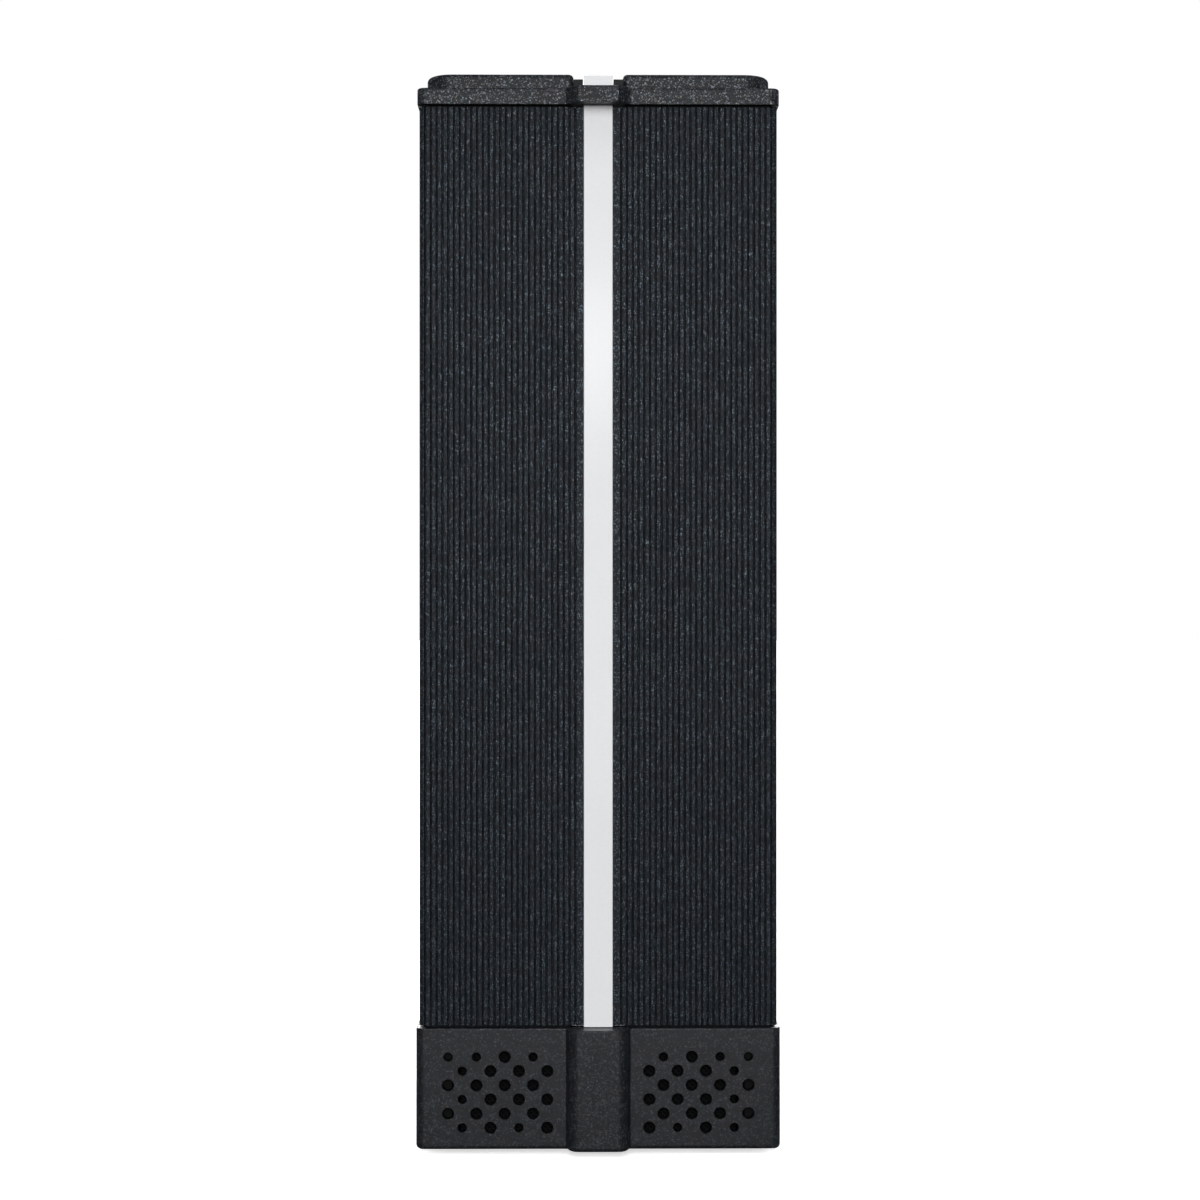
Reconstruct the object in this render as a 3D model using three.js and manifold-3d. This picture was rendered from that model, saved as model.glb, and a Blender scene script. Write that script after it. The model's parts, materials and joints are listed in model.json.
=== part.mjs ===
// A desktop tower air purifier, in millimetres, +Z up, front towards -Y.
// The origin is the middle of the footprint, on the surface that the feet stand on.
// Air is drawn in through the perforated base, pushed up by an axial fan, pressed inwards through a
// pleated cylinder filter and let out through the slotted pads of the cap. The cap carries the filter,
// so both lift out of the tower together.
import * as THREE from "three";
import { mergeVertices } from "three/addons/utils/BufferGeometryUtils.js";
import Module from "manifold-3d";

const wasm = await Module();
wasm.setup();

// ---------------------------------------------------------------- driving dimensions
const FIT = 0.3; // gap between neighbouring pieces
const FOOT_PROUD = 1.3;

const BASE_HALF = 52.2;
const BASE_HEIGHT = 34.7;
const BASE_CORNER = 2.5;
const BASE_WALL = 2.3;
const BASE_EDGE_ROUND = 1.4; // rounding of the lower outer edge

const SHELL_HALF = 51.25;
const SHELL_HEIGHT = 262.95;
const SHELL_WALL = 2.2;
const SHELL_CORNER = 2.2;

const CAP_HALF = 51.9;
const CAP_THICK = 4.8;
const PAD_HEIGHT = 4.5;
const SHADOW_GAP = 0.7; // dark line between the ribbed shells and their neighbours

const RIB_PITCH = 1.654;
const RIBS_FRONT = 27; // grooves on one half of the front or rear
const RIB_FIRST = 6.56; // first groove beside the light strip
const GROOVE_HALF = 0.36;
const GROOVE_DEPTH = 0.55;

const STRIP_HALF = 4.15;
const STRIP_GAP = 0.15;

// The post on the base and the bridge on the cap share one plan: a square bar with round front corners.
const POST_HALF = 9.05;
const POST_ROUND = 3.1;
const POST_PROUD = 4.0;
const BRIDGE_PROUD = 3.6;

const HOLE_STEP = 4.05; // half pitch of the staggered holes, both ways
const HOLE_FIRST_X = 14.6;
const HOLE_FIRST_Z = 6.3;
const HOLE_COLUMNS = 8;
const HOLE_ROWS = 6;
const HOLE_LARGE = 1.7;
const HOLE_SMALL = 1.3;
const SMALL_HOLES = { 0: [2, 6], 2: [6], 4: [6], 5: [1, 5, 7] }; // by row, columns counted from the post

const ROD_AT = 45.4; // tie rods, at the four inner corners
const ROD_RADIUS = 1.5;

const FAN_HALF = 40;
const FAN_DEPTH = 25;
const FAN_BORE = 38;
const FAN_HOLE_AT = 35.75;
const BLADES = 7;

const FILTER_RADIUS = 40;
const FILTER_BORE = 30.5;
const PLEATS = 40;

// ---------------------------------------------------------------- levels, worked out upwards
const BASE_BOTTOM = FOOT_PROUD;
const BASE_TOP = BASE_BOTTOM + BASE_HEIGHT;
const SHELL_BOTTOM = BASE_TOP + SHADOW_GAP;
const SHELL_TOP = SHELL_BOTTOM + SHELL_HEIGHT;
const CAP_BOTTOM = SHELL_TOP + SHADOW_GAP;
const CAP_TOP = CAP_BOTTOM + CAP_THICK;
const PAD_TOP = CAP_TOP + PAD_HEIGHT;
const BEZEL_TOP = CAP_TOP + 2.55;
const BAR_TOP = PAD_TOP - 0.65;
const DECK_BOTTOM = BASE_TOP - 2.7;
const FAN_BOTTOM = SHELL_BOTTOM + 0.2;
const FAN_TOP = FAN_BOTTOM + FAN_DEPTH;
const FILTER_BOTTOM = 72;
const MEDIA_TOP = SHELL_TOP - 11;

// ---------------------------------------------------------------- finishes
const finish = (color, roughness, metalness = 0) =>
  new THREE.MeshStandardMaterial({ color, roughness, metalness });
const TEXTURED_BLACK = finish(0x2b2d30, 0.62);
const RIBBED_BLACK = finish(0x1f2225, 0.55, 0.4);
const PLAIN_BLACK = finish(0x161719, 0.7);
const OPAL_WHITE = finish(0xececec, 0.35);
const RUBBER = finish(0x101010, 0.9);
const STEEL = finish(0xb9bcc0, 0.35, 1);
const CIRCUIT_GREEN = finish(0x1d5a38, 0.5);
const FILTER_WHITE = finish(0xf1f0ea, 0.95);
const CARBON_BLACK = finish(0x1a1a1a, 0.95);
const MAGNET_NICKEL = finish(0xc4c2bb, 0.25, 1);
const LEAD_GREY = finish(0x3a3a3c, 0.6);

// ---------------------------------------------------------------- solids and geometries
const purifier = new THREE.Group();

function add(name, shape, material) {
  const mesh = new THREE.Mesh(shape instanceof wasm.Manifold ? geometryOf(shape) : shape, material);
  mesh.name = name;
  purifier.add(mesh);
  return mesh;
}

function solidOf(geometry) {
  const bare = geometry.index ? geometry.toNonIndexed() : geometry.clone();
  bare.deleteAttribute("normal");
  bare.deleteAttribute("uv");
  const merged = mergeVertices(bare, 1e-3);
  const triVerts = new Uint32Array(merged.index.array);
  return new wasm.Manifold(
    new wasm.Mesh({ numProp: 3, vertProperties: merged.attributes.position.array, triVerts }),
  );
}

function geometryOf(solid) {
  const mesh = solid.getMesh();
  const geometry = new THREE.BufferGeometry();
  geometry.setAttribute("position", new THREE.BufferAttribute(mesh.vertProperties, 3));
  geometry.setIndex(new THREE.BufferAttribute(mesh.triVerts, 1));
  geometry.computeVertexNormals();
  return geometry;
}

const point = (x, y) => new THREE.Vector2(x, y);
const corners = (at) => [point(-at, -at), point(at, -at), point(at, at), point(-at, at)];
const CORNER_NAMES = ["front_left", "front_right", "rear_right", "rear_left"];

/** Points of an arc about (x, y), from one angle to another in degrees. */
function arc(x, y, radius, from, to, steps = 3) {
  return Array.from({ length: steps + 1 }, (_, i) => {
    const angle = THREE.MathUtils.degToRad(from + ((to - from) * i) / steps);
    return point(x + radius * Math.cos(angle), y + radius * Math.sin(angle));
  });
}

/** A rectangle with round corners, anticlockwise. radii: front left, front right, rear right, rear left. */
function roundRect(x0, x1, y0, y1, radii) {
  const [a, b, c, d] = Array.isArray(radii) ? radii : [radii, radii, radii, radii];
  return [
    ...arc(x0 + a, y0 + a, a, 180, 270),
    ...arc(x1 - b, y0 + b, b, 270, 360),
    ...arc(x1 - c, y1 - c, c, 0, 90),
    ...arc(x0 + d, y1 - d, d, 90, 180),
  ];
}

const roundSquare = (half, radius) => roundRect(-half, half, -half, half, radius);

/** A round square with a round-cornered post in the middle of its front and rear. */
function postedSquare(half, radius, proud, inset = 0) {
  const size = half - inset;
  const root = POST_HALF - inset;
  const at = POST_HALF - POST_ROUND;
  const tip = half + proud - POST_ROUND;
  const round = POST_ROUND - inset;
  const frontPost = [
    point(-root, -size),
    ...arc(-at, -tip, round, 180, 270, 4),
    ...arc(at, -tip, round, 270, 360, 4),
    point(root, -size),
  ];
  return [
    ...arc(-size + radius, -size + radius, radius, 180, 270),
    ...frontPost,
    ...arc(size - radius, -size + radius, radius, 270, 360),
    ...arc(size - radius, size - radius, radius, 0, 90),
    ...frontPost.map((p) => point(-p.x, -p.y)),
    ...arc(-size + radius, size - radius, radius, 90, 180),
  ];
}

/** An outline pulled up from z0 to z1, with holes if any. */
function prism(outline, z0, z1, holes = []) {
  const shape = new THREE.Shape(outline);
  shape.holes = holes.map((hole) => new THREE.Path(hole));
  const geometry = new THREE.ExtrudeGeometry(shape, { depth: z1 - z0, bevelEnabled: false });
  return solidOf(geometry.translate(0, 0, z0));
}

const block = (x0, x1, y0, y1, z0, z1) =>
  solidOf(
    new THREE.BoxGeometry(x1 - x0, y1 - y0, z1 - z0).translate(
      (x0 + x1) / 2,
      (y0 + y1) / 2,
      (z0 + z1) / 2,
    ),
  );

/** A closed body through outlines of equal length, each at its own height. */
function loft(sections) {
  const count = sections[0].outline.length;
  const positions = sections.flatMap(({ outline, z }) => outline.flatMap((p) => [p.x, p.y, z]));
  const cap = THREE.ShapeUtils.triangulateShape(sections[0].outline, []);
  const last = (sections.length - 1) * count;
  const faces = [];
  cap.forEach(([a, b, c]) => faces.push(c, b, a, a + last, b + last, c + last));
  for (let s = 0; s < sections.length - 1; s++) {
    for (let i = 0; i < count; i++) {
      const a = s * count + i;
      const b = s * count + ((i + 1) % count);
      faces.push(a, b, b + count, a, b + count, a + count);
    }
  }
  const geometry = new THREE.BufferGeometry();
  geometry.setAttribute("position", new THREE.Float32BufferAttribute(positions, 3));
  geometry.setIndex(faces);
  return solidOf(geometry);
}

/** A round bar standing on (x, y). */
const bar = (x, y, radius, z0, z1, sides = 12) =>
  solidOf(
    new THREE.CylinderGeometry(radius, radius, z1 - z0, sides)
      .rotateX(Math.PI / 2)
      .translate(x, y, (z0 + z1) / 2),
  );

/** A round bar lying along Y. */
const barY = (x, z, radius, y0, y1, sides = 12) =>
  solidOf(new THREE.CylinderGeometry(radius, radius, y1 - y0, sides).translate(x, (y0 + y1) / 2, z));

const tube = (outer, inner, z0, z1, sides) =>
  bar(0, 0, outer, z0, z1, sides).subtract(bar(0, 0, inner, z0 - 1, z1 + 1, sides));

const joined = (solids) => wasm.Manifold.union(solids);
const cut = (solid, tools) => solid.subtract(joined(tools));

/** Bars of one size at the four corners. */
const cornerBars = (at, radius, z0, z1, sides) =>
  corners(at).map((p) => bar(p.x, p.y, radius, z0, z1, sides));

/** The same tools on the front and the rear. */
const frontAndRear = (make) => [make(), make().rotate([0, 0, 180])];

// ---------------------------------------------------------------- base
const BASE_INNER = BASE_HALF - BASE_WALL;
const POST_HOLLOW = 5.0;
const POST_SKIN = 2.2;
const JACK_Z = 15.3;
const BUTTON_Z = 27.5;
const BUTTON_RADIUS = 4.0;

/** The staggered holes of one face, as bars through its wall. */
function wallHoles() {
  const holes = [];
  for (let row = 0; row < HOLE_ROWS; row++) {
    for (let column = row % 2; column < HOLE_COLUMNS; column += 2) {
      const radius = (SMALL_HOLES[row] ?? []).includes(column) ? HOLE_SMALL : HOLE_LARGE;
      const x = HOLE_FIRST_X + column * HOLE_STEP;
      const z = BASE_BOTTOM + HOLE_FIRST_Z + row * HOLE_STEP;
      [-x, x].forEach((side) => {
        holes.push(barY(side, z, radius, -BASE_HALF - 1, -BASE_INNER + 0.8, 6));
      });
    }
  }
  return joined(holes);
}

function baseHousing() {
  const skin = (inset) => postedSquare(BASE_HALF, BASE_CORNER, POST_PROUD, inset);
  const outside = loft([
    { outline: skin(BASE_EDGE_ROUND * 0.9), z: BASE_BOTTOM },
    { outline: skin(BASE_EDGE_ROUND * 0.3), z: BASE_BOTTOM + BASE_EDGE_ROUND * 0.3 },
    { outline: skin(0), z: BASE_BOTTOM + BASE_EDGE_ROUND },
    { outline: skin(0), z: BASE_TOP },
  ]);
  const room = prism(roundSquare(BASE_INNER, 1.2), BASE_BOTTOM - 1, BASE_TOP + 1);
  const hollow = () =>
    block(-POST_HOLLOW, POST_HOLLOW, -BASE_HALF - POST_PROUD + POST_SKIN, -BASE_INNER + 0.2,
      BASE_BOTTOM - 1, BASE_TOP - POST_SKIN);
  const bosses = cornerBars(ROD_AT, 4.8, BASE_BOTTOM + 3.1, DECK_BOTTOM - 0.2, 14);
  const shell = cut(outside, [room, ...frontAndRear(hollow)]).add(joined(bosses));
  const face = wallHoles();
  const perforation = [0, 90, 180, 270].map((turn) => face.rotate([0, 0, turn]));
  const rear = BASE_HALF + POST_PROUD;
  return cut(shell, [
    ...perforation,
    ...cornerBars(ROD_AT, ROD_RADIUS + FIT, 0, BASE_TOP, 10),
    barY(0, JACK_Z, 4.2, rear - 4, rear + 1, 16),
    barY(0, BUTTON_Z, BUTTON_RADIUS + 0.25, rear - 4, rear + 1, 16),
  ]);
}

const PLATE_BOTTOM = BASE_BOTTOM + 0.4;
const PLATE_TOP = PLATE_BOTTOM + 2.5;
const STANDOFFS = [point(-24, 20), point(24, 20)];
const BOARD_Z = 9.0;

function basePlate() {
  const plate = prism(roundSquare(BASE_INNER - FIT, 1.0), PLATE_BOTTOM, PLATE_TOP);
  const posts = STANDOFFS.map((p) => bar(p.x, p.y, 2.6, PLATE_TOP - 0.2, BOARD_Z - 0.2, 10));
  const taps = STANDOFFS.map((p) => bar(p.x, p.y, 1.3, PLATE_TOP, BOARD_Z, 8));
  const nutPockets = cornerBars(ROD_AT, 3.5, PLATE_BOTTOM - 1, PLATE_BOTTOM + 1.8, 12);
  const footTop = PLATE_BOTTOM + 0.6;
  const footPockets = cornerBars(FOOT_AT, FOOT_RADIUS + 0.2, PLATE_BOTTOM - 1, footTop, 20);
  return cut(plate.add(joined(posts)), [
    ...taps,
    ...nutPockets,
    ...footPockets,
    ...cornerBars(ROD_AT, ROD_RADIUS + FIT, 0, PLATE_TOP + 1, 10),
  ]);
}

const FOOT_AT = 37.5;
const FOOT_RADIUS = 7;

const foot = (p) =>
  new THREE.LatheGeometry(
    [
      point(0, 0),
      point(FOOT_RADIUS - 0.8, 0),
      point(FOOT_RADIUS, 0.6),
      point(FOOT_RADIUS, 2.1),
      point(0, 2.1),
    ],
    20,
  )
    .rotateX(Math.PI / 2)
    .translate(p.x, p.y, 0);

/** A nut at the foot of a tie rod. */
const nut = (p) =>
  bar(p.x, p.y, 3.1, PLATE_BOTTOM + 0.1, PLATE_BOTTOM + 1.7, 6).subtract(
    bar(p.x, p.y, ROD_RADIUS + 0.12, 0, 6, 8),
  );

/** A long screw that clamps base plate, base, deck, shells and top frame together. */
const tieRod = (p) =>
  bar(p.x, p.y, ROD_RADIUS, PLATE_BOTTOM + 0.2, SHELL_TOP + 0.8, 8).add(
    bar(p.x, p.y, 2.8, SHELL_TOP + SHADOW_GAP + 0.05, SHELL_TOP + SHADOW_GAP + 1.5, 8),
  );

/** The dust screen behind the holes of the front face. */
function inletScreen(hasWindow) {
  const sheet = (half, z1) =>
    block(-half, half, -BASE_INNER + 0.4, -BASE_INNER + 1.1, PLATE_TOP + 0.3, z1);
  const screen = sheet(39.5, DECK_BOTTOM - 0.5);
  const window = block(-6.4, 6.4, -BASE_INNER, -BASE_INNER + 2, 0, DECK_BOTTOM);
  const bridge = sheet(7, PLATE_TOP + 2);
  return hasWindow ? screen.subtract(window).add(bridge) : screen;
}

const DECK_HALF = BASE_INNER - FIT;
const FLANGE_HALF = SHELL_HALF - 0.8;
const NOTCH_HALF = 7.9; // room for the light strips in the deck and the top frame
const NOTCH_FROM = 47.2;

/** The deck between base and tower: the fan sits on it and the shells stand on its rim. */
function deck() {
  const plate = prism(roundSquare(DECK_HALF, 1.0), DECK_BOTTOM, BASE_TOP + 0.2);
  const rim = prism(roundSquare(FLANGE_HALF, 1.5), BASE_TOP + 0.1, SHELL_BOTTOM - 0.05);
  const notch = () => block(-NOTCH_HALF, NOTCH_HALF, -60, -NOTCH_FROM, BASE_TOP - 0.1, SHELL_BOTTOM + 1);
  return cut(plate.add(rim), [
    bar(0, 0, FAN_BORE, DECK_BOTTOM - 1, SHELL_BOTTOM + 1, 32),
    ...frontAndRear(notch),
    ...cornerBars(ROD_AT, ROD_RADIUS + FIT, DECK_BOTTOM - 1, SHELL_BOTTOM + 1, 10),
    ...cornerBars(FAN_HOLE_AT, 2.2, DECK_BOTTOM - 1, SHELL_BOTTOM + 1, 10),
    block(-2.5, 2.5, -48.4, -43.5, DECK_BOTTOM - 1, SHELL_BOTTOM + 1),
    block(3.5, 9, 42, 48, DECK_BOTTOM - 1, SHELL_BOTTOM + 1),
    block(41, 46, -3, 8, DECK_BOTTOM - 1, SHELL_BOTTOM + 1),
  ]);
}

add("base_housing", baseHousing(), TEXTURED_BLACK);
add("base_plate", basePlate(), PLAIN_BLACK);
add("deck", deck(), PLAIN_BLACK);
["front", "right", "rear", "left"].forEach((side, i) => {
  const screen = inletScreen(side === "rear").rotate([0, 0, 90 * i]);
  add(`inlet_screen_${side}`, screen, PLAIN_BLACK);
});
corners(FOOT_AT).forEach((p, i) => add(`foot_${CORNER_NAMES[i]}`, foot(p), RUBBER));
corners(ROD_AT).forEach((p, i) => {
  add(`tie_rod_${CORNER_NAMES[i]}`, tieRod(p), STEEL);
  add(`rod_nut_${CORNER_NAMES[i]}`, nut(p), STEEL);
});

// ---------------------------------------------------------------- ribbed tower
/** One side of the shell's plan with V grooves, from start to end, both corners left out. */
function groovedEdge(centres, place) {
  return centres.flatMap((c) => [
    place(c - GROOVE_HALF, 0),
    place(c, GROOVE_DEPTH),
    place(c + GROOVE_HALF, 0),
  ]);
}

/** The left half of the tower: half the front, the left side and half the rear, one extrusion. */
function leftShell() {
  const edge = STRIP_HALF + STRIP_GAP;
  const inner = SHELL_HALF - SHELL_WALL;
  const along = Array.from({ length: RIBS_FRONT }, (_, i) => RIB_FIRST + i * RIB_PITCH);
  const last = along[RIBS_FRONT - 1];
  const sideCount = Math.round((2 * last) / RIB_PITCH);
  const side = Array.from({ length: sideCount + 1 }, (_, i) => -last + i * RIB_PITCH);
  const round = SHELL_CORNER;
  const outline = [
    point(-edge, SHELL_HALF),
    ...groovedEdge(along, (c, d) => point(-c, SHELL_HALF - d)),
    ...arc(-SHELL_HALF + round, SHELL_HALF - round, round, 90, 180).slice(1, -1),
    ...groovedEdge(side, (c, d) => point(-SHELL_HALF + d, -c)),
    ...arc(-SHELL_HALF + round, -SHELL_HALF + round, round, 180, 270).slice(1, -1),
    ...groovedEdge([...along].reverse().map((c) => -c), (c, d) => point(c, -SHELL_HALF + d)),
    point(-edge, -SHELL_HALF),
    point(-edge, -inner),
    ...arc(-ROD_AT, -ROD_AT, 3.7, -71, 161, 8), // bosses for the tie rods fill both inner corners
    ...arc(-ROD_AT, ROD_AT, 3.7, -161, 71, 8),
    point(-edge, inner),
  ];
  const bore = (y) => arc(-ROD_AT, y, ROD_RADIUS + FIT, 360, 0, 10).slice(0, -1);
  const bores = [bore(-ROD_AT), bore(ROD_AT)];
  return prism(outline, SHELL_BOTTOM, SHELL_TOP, bores);
}

const STRIP_BACK = SHELL_HALF - SHELL_WALL - 0.2;
const STRIP_FLANGE_BACK = STRIP_BACK - 1.3;

/** The opal strip of the front, with a flange behind the edges of both shells. */
function lightStrip() {
  const outline = [
    point(-STRIP_HALF, -SHELL_HALF),
    point(STRIP_HALF, -SHELL_HALF),
    point(STRIP_HALF, -STRIP_BACK),
    point(7.5, -STRIP_BACK),
    point(7.5, -STRIP_FLANGE_BACK),
    point(-7.5, -STRIP_FLANGE_BACK),
    point(-7.5, -STRIP_BACK),
    point(-STRIP_HALF, -STRIP_BACK),
  ];
  return prism(outline, BASE_TOP + 0.2, CAP_BOTTOM - 0.2);
}

/** The circuit board behind a strip, with its row of lamps. */
function ledBoard() {
  const lamps = Array.from({ length: 8 }, (_, i) => {
    const z = 55 + i * 32;
    return block(-2.5, 2.5, -46.9, -45.5, z - 2.5, z + 2.5);
  });
  return block(-5, 5, -45.6, -44.4, 42, 290).add(joined(lamps));
}

/** The frame on top of the shells: the cap rests on it and the filter passes through it. */
function topFrame() {
  const inner = roundSquare(43.6, 6);
  const flange = roundSquare(FLANGE_HALF, 1.5);
  const rim = prism(flange, SHELL_TOP + 0.03, SHELL_TOP + SHADOW_GAP - 0.05, [inner]);
  const clip = 85.3 - 48.6;
  const ring = [
    point(-clip, -48.6), point(clip, -48.6), point(48.6, -clip), point(48.6, clip),
    point(clip, 48.6), point(-clip, 48.6), point(-48.6, clip), point(-48.6, -clip),
  ];
  const collar = prism(ring, SHELL_TOP - 6, SHELL_TOP + 0.1, [inner]);
  const notch = () =>
    block(-NOTCH_HALF, NOTCH_HALF, -60, -NOTCH_FROM, SHELL_TOP - 7, SHELL_TOP + 2);
  return cut(rim.add(collar), [
    ...frontAndRear(notch),
    ...cornerBars(ROD_AT, ROD_RADIUS + 0.2, SHELL_TOP - 1, SHELL_TOP + 2, 10),
  ]);
}

const left = leftShell();
add("left_shell", left, RIBBED_BLACK);
add("right_shell", left.rotate([0, 0, 180]), RIBBED_BLACK);
add("front_light_strip", lightStrip(), OPAL_WHITE);
add("rear_light_strip", lightStrip().rotate([0, 0, 180]), OPAL_WHITE);
add("front_led_board", ledBoard(), CIRCUIT_GREEN);
add("rear_led_board", ledBoard().rotate([0, 0, 180]), CIRCUIT_GREEN);
add("top_frame", topFrame(), PLAIN_BLACK);

// ---------------------------------------------------------------- fan
const SEAT_TOP = FAN_BOTTOM + 3;
const HUB_RADIUS = 17;
const HUB_TOP = FAN_TOP - 2;

function fanFrame() {
  const frame = prism(roundSquare(FAN_HALF, 4), FAN_BOTTOM, FAN_TOP);
  const bored = cut(frame, [
    bar(0, 0, FAN_BORE, FAN_BOTTOM - 1, FAN_TOP + 1, 32),
    ...cornerBars(FAN_HOLE_AT, 2.2, FAN_BOTTOM - 1, FAN_TOP + 1, 10),
  ]);
  const struts = [45, 135].map((turn) =>
    block(-FAN_BORE - 1, FAN_BORE + 1, -2, 2, FAN_BOTTOM, SEAT_TOP).rotate([0, 0, turn]),
  );
  return joined([bored, bar(0, 0, HUB_RADIUS, FAN_BOTTOM, SEAT_TOP, 20), ...struts]);
}

/** One blade: four flat sections from hub to tip, each turned a little flatter than the last. */
function blade() {
  const stations = [15.8, 22, 29, 36.6];
  const middle = (SEAT_TOP + HUB_TOP) / 2;
  const positions = stations.flatMap((radius, i) => {
    const pitch = THREE.MathUtils.degToRad(50 - i * 7);
    const chord = 9 + i * 1.8;
    return [[-1, -1], [1, -1], [1, 1], [-1, 1]].flatMap(([along, through]) => {
      const u = along * chord;
      const v = through * 0.6;
      const [c, s] = [Math.cos(pitch), Math.sin(pitch)];
      return [radius, u * c - v * s, middle + u * s + v * c];
    });
  });
  const faces = [0, 2, 1, 0, 3, 2];
  for (let s = 0; s < stations.length - 1; s++) {
    for (let i = 0; i < 4; i++) {
      const a = s * 4 + i;
      const b = s * 4 + ((i + 1) % 4);
      faces.push(a, b, b + 4, a, b + 4, a + 4);
    }
  }
  const last = (stations.length - 1) * 4;
  faces.push(last, last + 1, last + 2, last, last + 2, last + 3);
  const geometry = new THREE.BufferGeometry();
  geometry.setAttribute("position", new THREE.Float32BufferAttribute(positions, 3));
  geometry.setIndex(faces);
  return solidOf(geometry);
}

function fanRotor() {
  const cup = bar(0, 0, HUB_RADIUS, SEAT_TOP + 1, HUB_TOP, 28).subtract(
    bar(0, 0, HUB_RADIUS - 2.2, SEAT_TOP, HUB_TOP - 2.5, 28),
  );
  const one = blade();
  const blades = Array.from({ length: BLADES }, (_, i) => one.rotate([0, 0, (360 / BLADES) * i]));
  const slab = bar(0, 0, FAN_BORE - 1, SEAT_TOP + 0.8, HUB_TOP, 28);
  const core = bar(0, 0, HUB_RADIUS - 1.2, SEAT_TOP, HUB_TOP - 2.4, 28);
  return cup.add(joined(blades).intersect(slab).subtract(core));
}

/** A flat finger guard: two rings on crossed bars, held at the fan's corners. */
function fanGuard() {
  const z0 = FAN_TOP + 0.2;
  const z1 = z0 + 1.4;
  const rings = [20, 38.6].map((radius) => tube(radius, radius - 1.5, z0, z1, 20));
  const arms = [45, 135].map((turn) => block(-53, 53, -1.6, 1.6, z0, z1).rotate([0, 0, turn]));
  const bosses = cornerBars(FAN_HOLE_AT, 3.4, z0, z1, 10);
  const outline = prism(roundSquare(FAN_HALF, 4), z0 - 1, z1 + 1);
  return joined([...rings, ...arms, ...bosses]).intersect(outline);
}

const fanScrew = (p) =>
  bar(p.x, p.y, 3.0, DECK_BOTTOM - 2.1, DECK_BOTTOM - 0.1, 8).add(
    bar(p.x, p.y, 1.7, DECK_BOTTOM - 0.2, FAN_BOTTOM + 9, 8),
  );

add("fan_frame", fanFrame(), PLAIN_BLACK);
add("fan_stator", tube(11.5, 1.9, SEAT_TOP + 0.1, HUB_TOP - 5, 16), STEEL);
add("fan_guard", fanGuard(), PLAIN_BLACK);
corners(FAN_HOLE_AT).forEach((p, i) => add(`fan_screw_${CORNER_NAMES[i]}`, fanScrew(p), STEEL));
add("fan_rotor", fanRotor(), PLAIN_BLACK);
add("fan_shaft", bar(0, 0, 1.5, SEAT_TOP + 1, HUB_TOP - 2.6, 10), STEEL);
add("rotor_magnet", tube(HUB_RADIUS - 2.6, 12.6, SEAT_TOP + 2, HUB_TOP - 6, 20), MAGNET_NICKEL);

// ---------------------------------------------------------------- controls, in the base
const REAR_WALL = BASE_HALF + POST_PROUD - POST_SKIN;

function controlBoard() {
  const board = block(-28, 28, 8, 40.4, BOARD_Z, BOARD_Z + 1.6);
  const top = BOARD_Z + 1.5;
  const parts = [
    bar(-14, 30, 4, top, top + 12, 12), // smoothing capacitor
    bar(-4, 31, 3.2, top, top + 8, 12),
    block(12, 22, 26, 36, top, top + 5), // choke
    block(-9, 3, 13, 22, top, top + 1.6), // controller chip
    block(19.5, 26, 11, 16, top, top + 4.5), // fan socket
    block(-26, -20, 11, 16, top, top + 4.5), // front lamp socket
    block(22.5, 27, 29, 34.5, top, top + 4.5), // rear lamp socket
  ];
  return cut(board.add(joined(parts)), STANDOFFS.map((p) => bar(p.x, p.y, 1.4, 0, 20, 8)));
}

const boardScrew = (p) =>
  bar(p.x, p.y, 1.1, BOARD_Z - 3.5, BOARD_Z + 1.8, 8).add(
    bar(p.x, p.y, 2.2, BOARD_Z + 1.65, BOARD_Z + 3.2, 8),
  );

/** The low-voltage socket: a block with a round mouth and a centre pin. */
function dcJack() {
  const mouth = REAR_WALL - 2.2;
  const body = block(-4.5, 4.5, 41, mouth, JACK_Z - 4.5, JACK_Z + 4.5);
  return body
    .subtract(barY(0, JACK_Z, 3.3, mouth - 8.5, mouth + 1, 16))
    .add(barY(0, JACK_Z, 1.0, mouth - 9, mouth - 1, 8));
}

function switchBoard() {
  const board = block(-4.7, 4.7, 45.5, 46.7, BUTTON_Z - 6.5, BUTTON_Z + 5);
  const contact = block(-3, 3, 46.6, 49.6, BUTTON_Z - 3, BUTTON_Z + 3);
  return joined([board, contact, barY(0, BUTTON_Z, 1.6, 49.5, 50, 10)]);
}

/** The push button of the rear post: a cap in the round hole, a retaining flange and a stem. */
function powerButton() {
  const outer = BASE_HALF + POST_PROUD - 0.2;
  return joined([
    barY(0, BUTTON_Z, BUTTON_RADIUS, REAR_WALL - 1, outer, 20),
    barY(0, BUTTON_Z, BUTTON_RADIUS + 0.7, REAR_WALL - 2, REAR_WALL - 0.2, 20),
    barY(0, BUTTON_Z, 1.5, 51.6, REAR_WALL - 1.5, 10),
  ]);
}

/** A wire bundle along a smooth line through the given points. */
function lead(points) {
  const section = new THREE.Shape(arc(0, 0, 1.1, 0, 360, 6).slice(0, -1));
  const extrudePath = new THREE.CatmullRomCurve3(points.map((p) => new THREE.Vector3(...p)));
  return solidOf(new THREE.ExtrudeGeometry(section, { extrudePath, steps: 14, bevelEnabled: false }));
}

add("control_board", controlBoard(), CIRCUIT_GREEN);
STANDOFFS.forEach((p, i) => add(`board_screw_${["left", "right"][i]}`, boardScrew(p), STEEL));
add("dc_jack", dcJack(), PLAIN_BLACK);
add("switch_board", switchBoard(), CIRCUIT_GREEN);
add("power_button", powerButton(), TEXTURED_BLACK);

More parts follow.
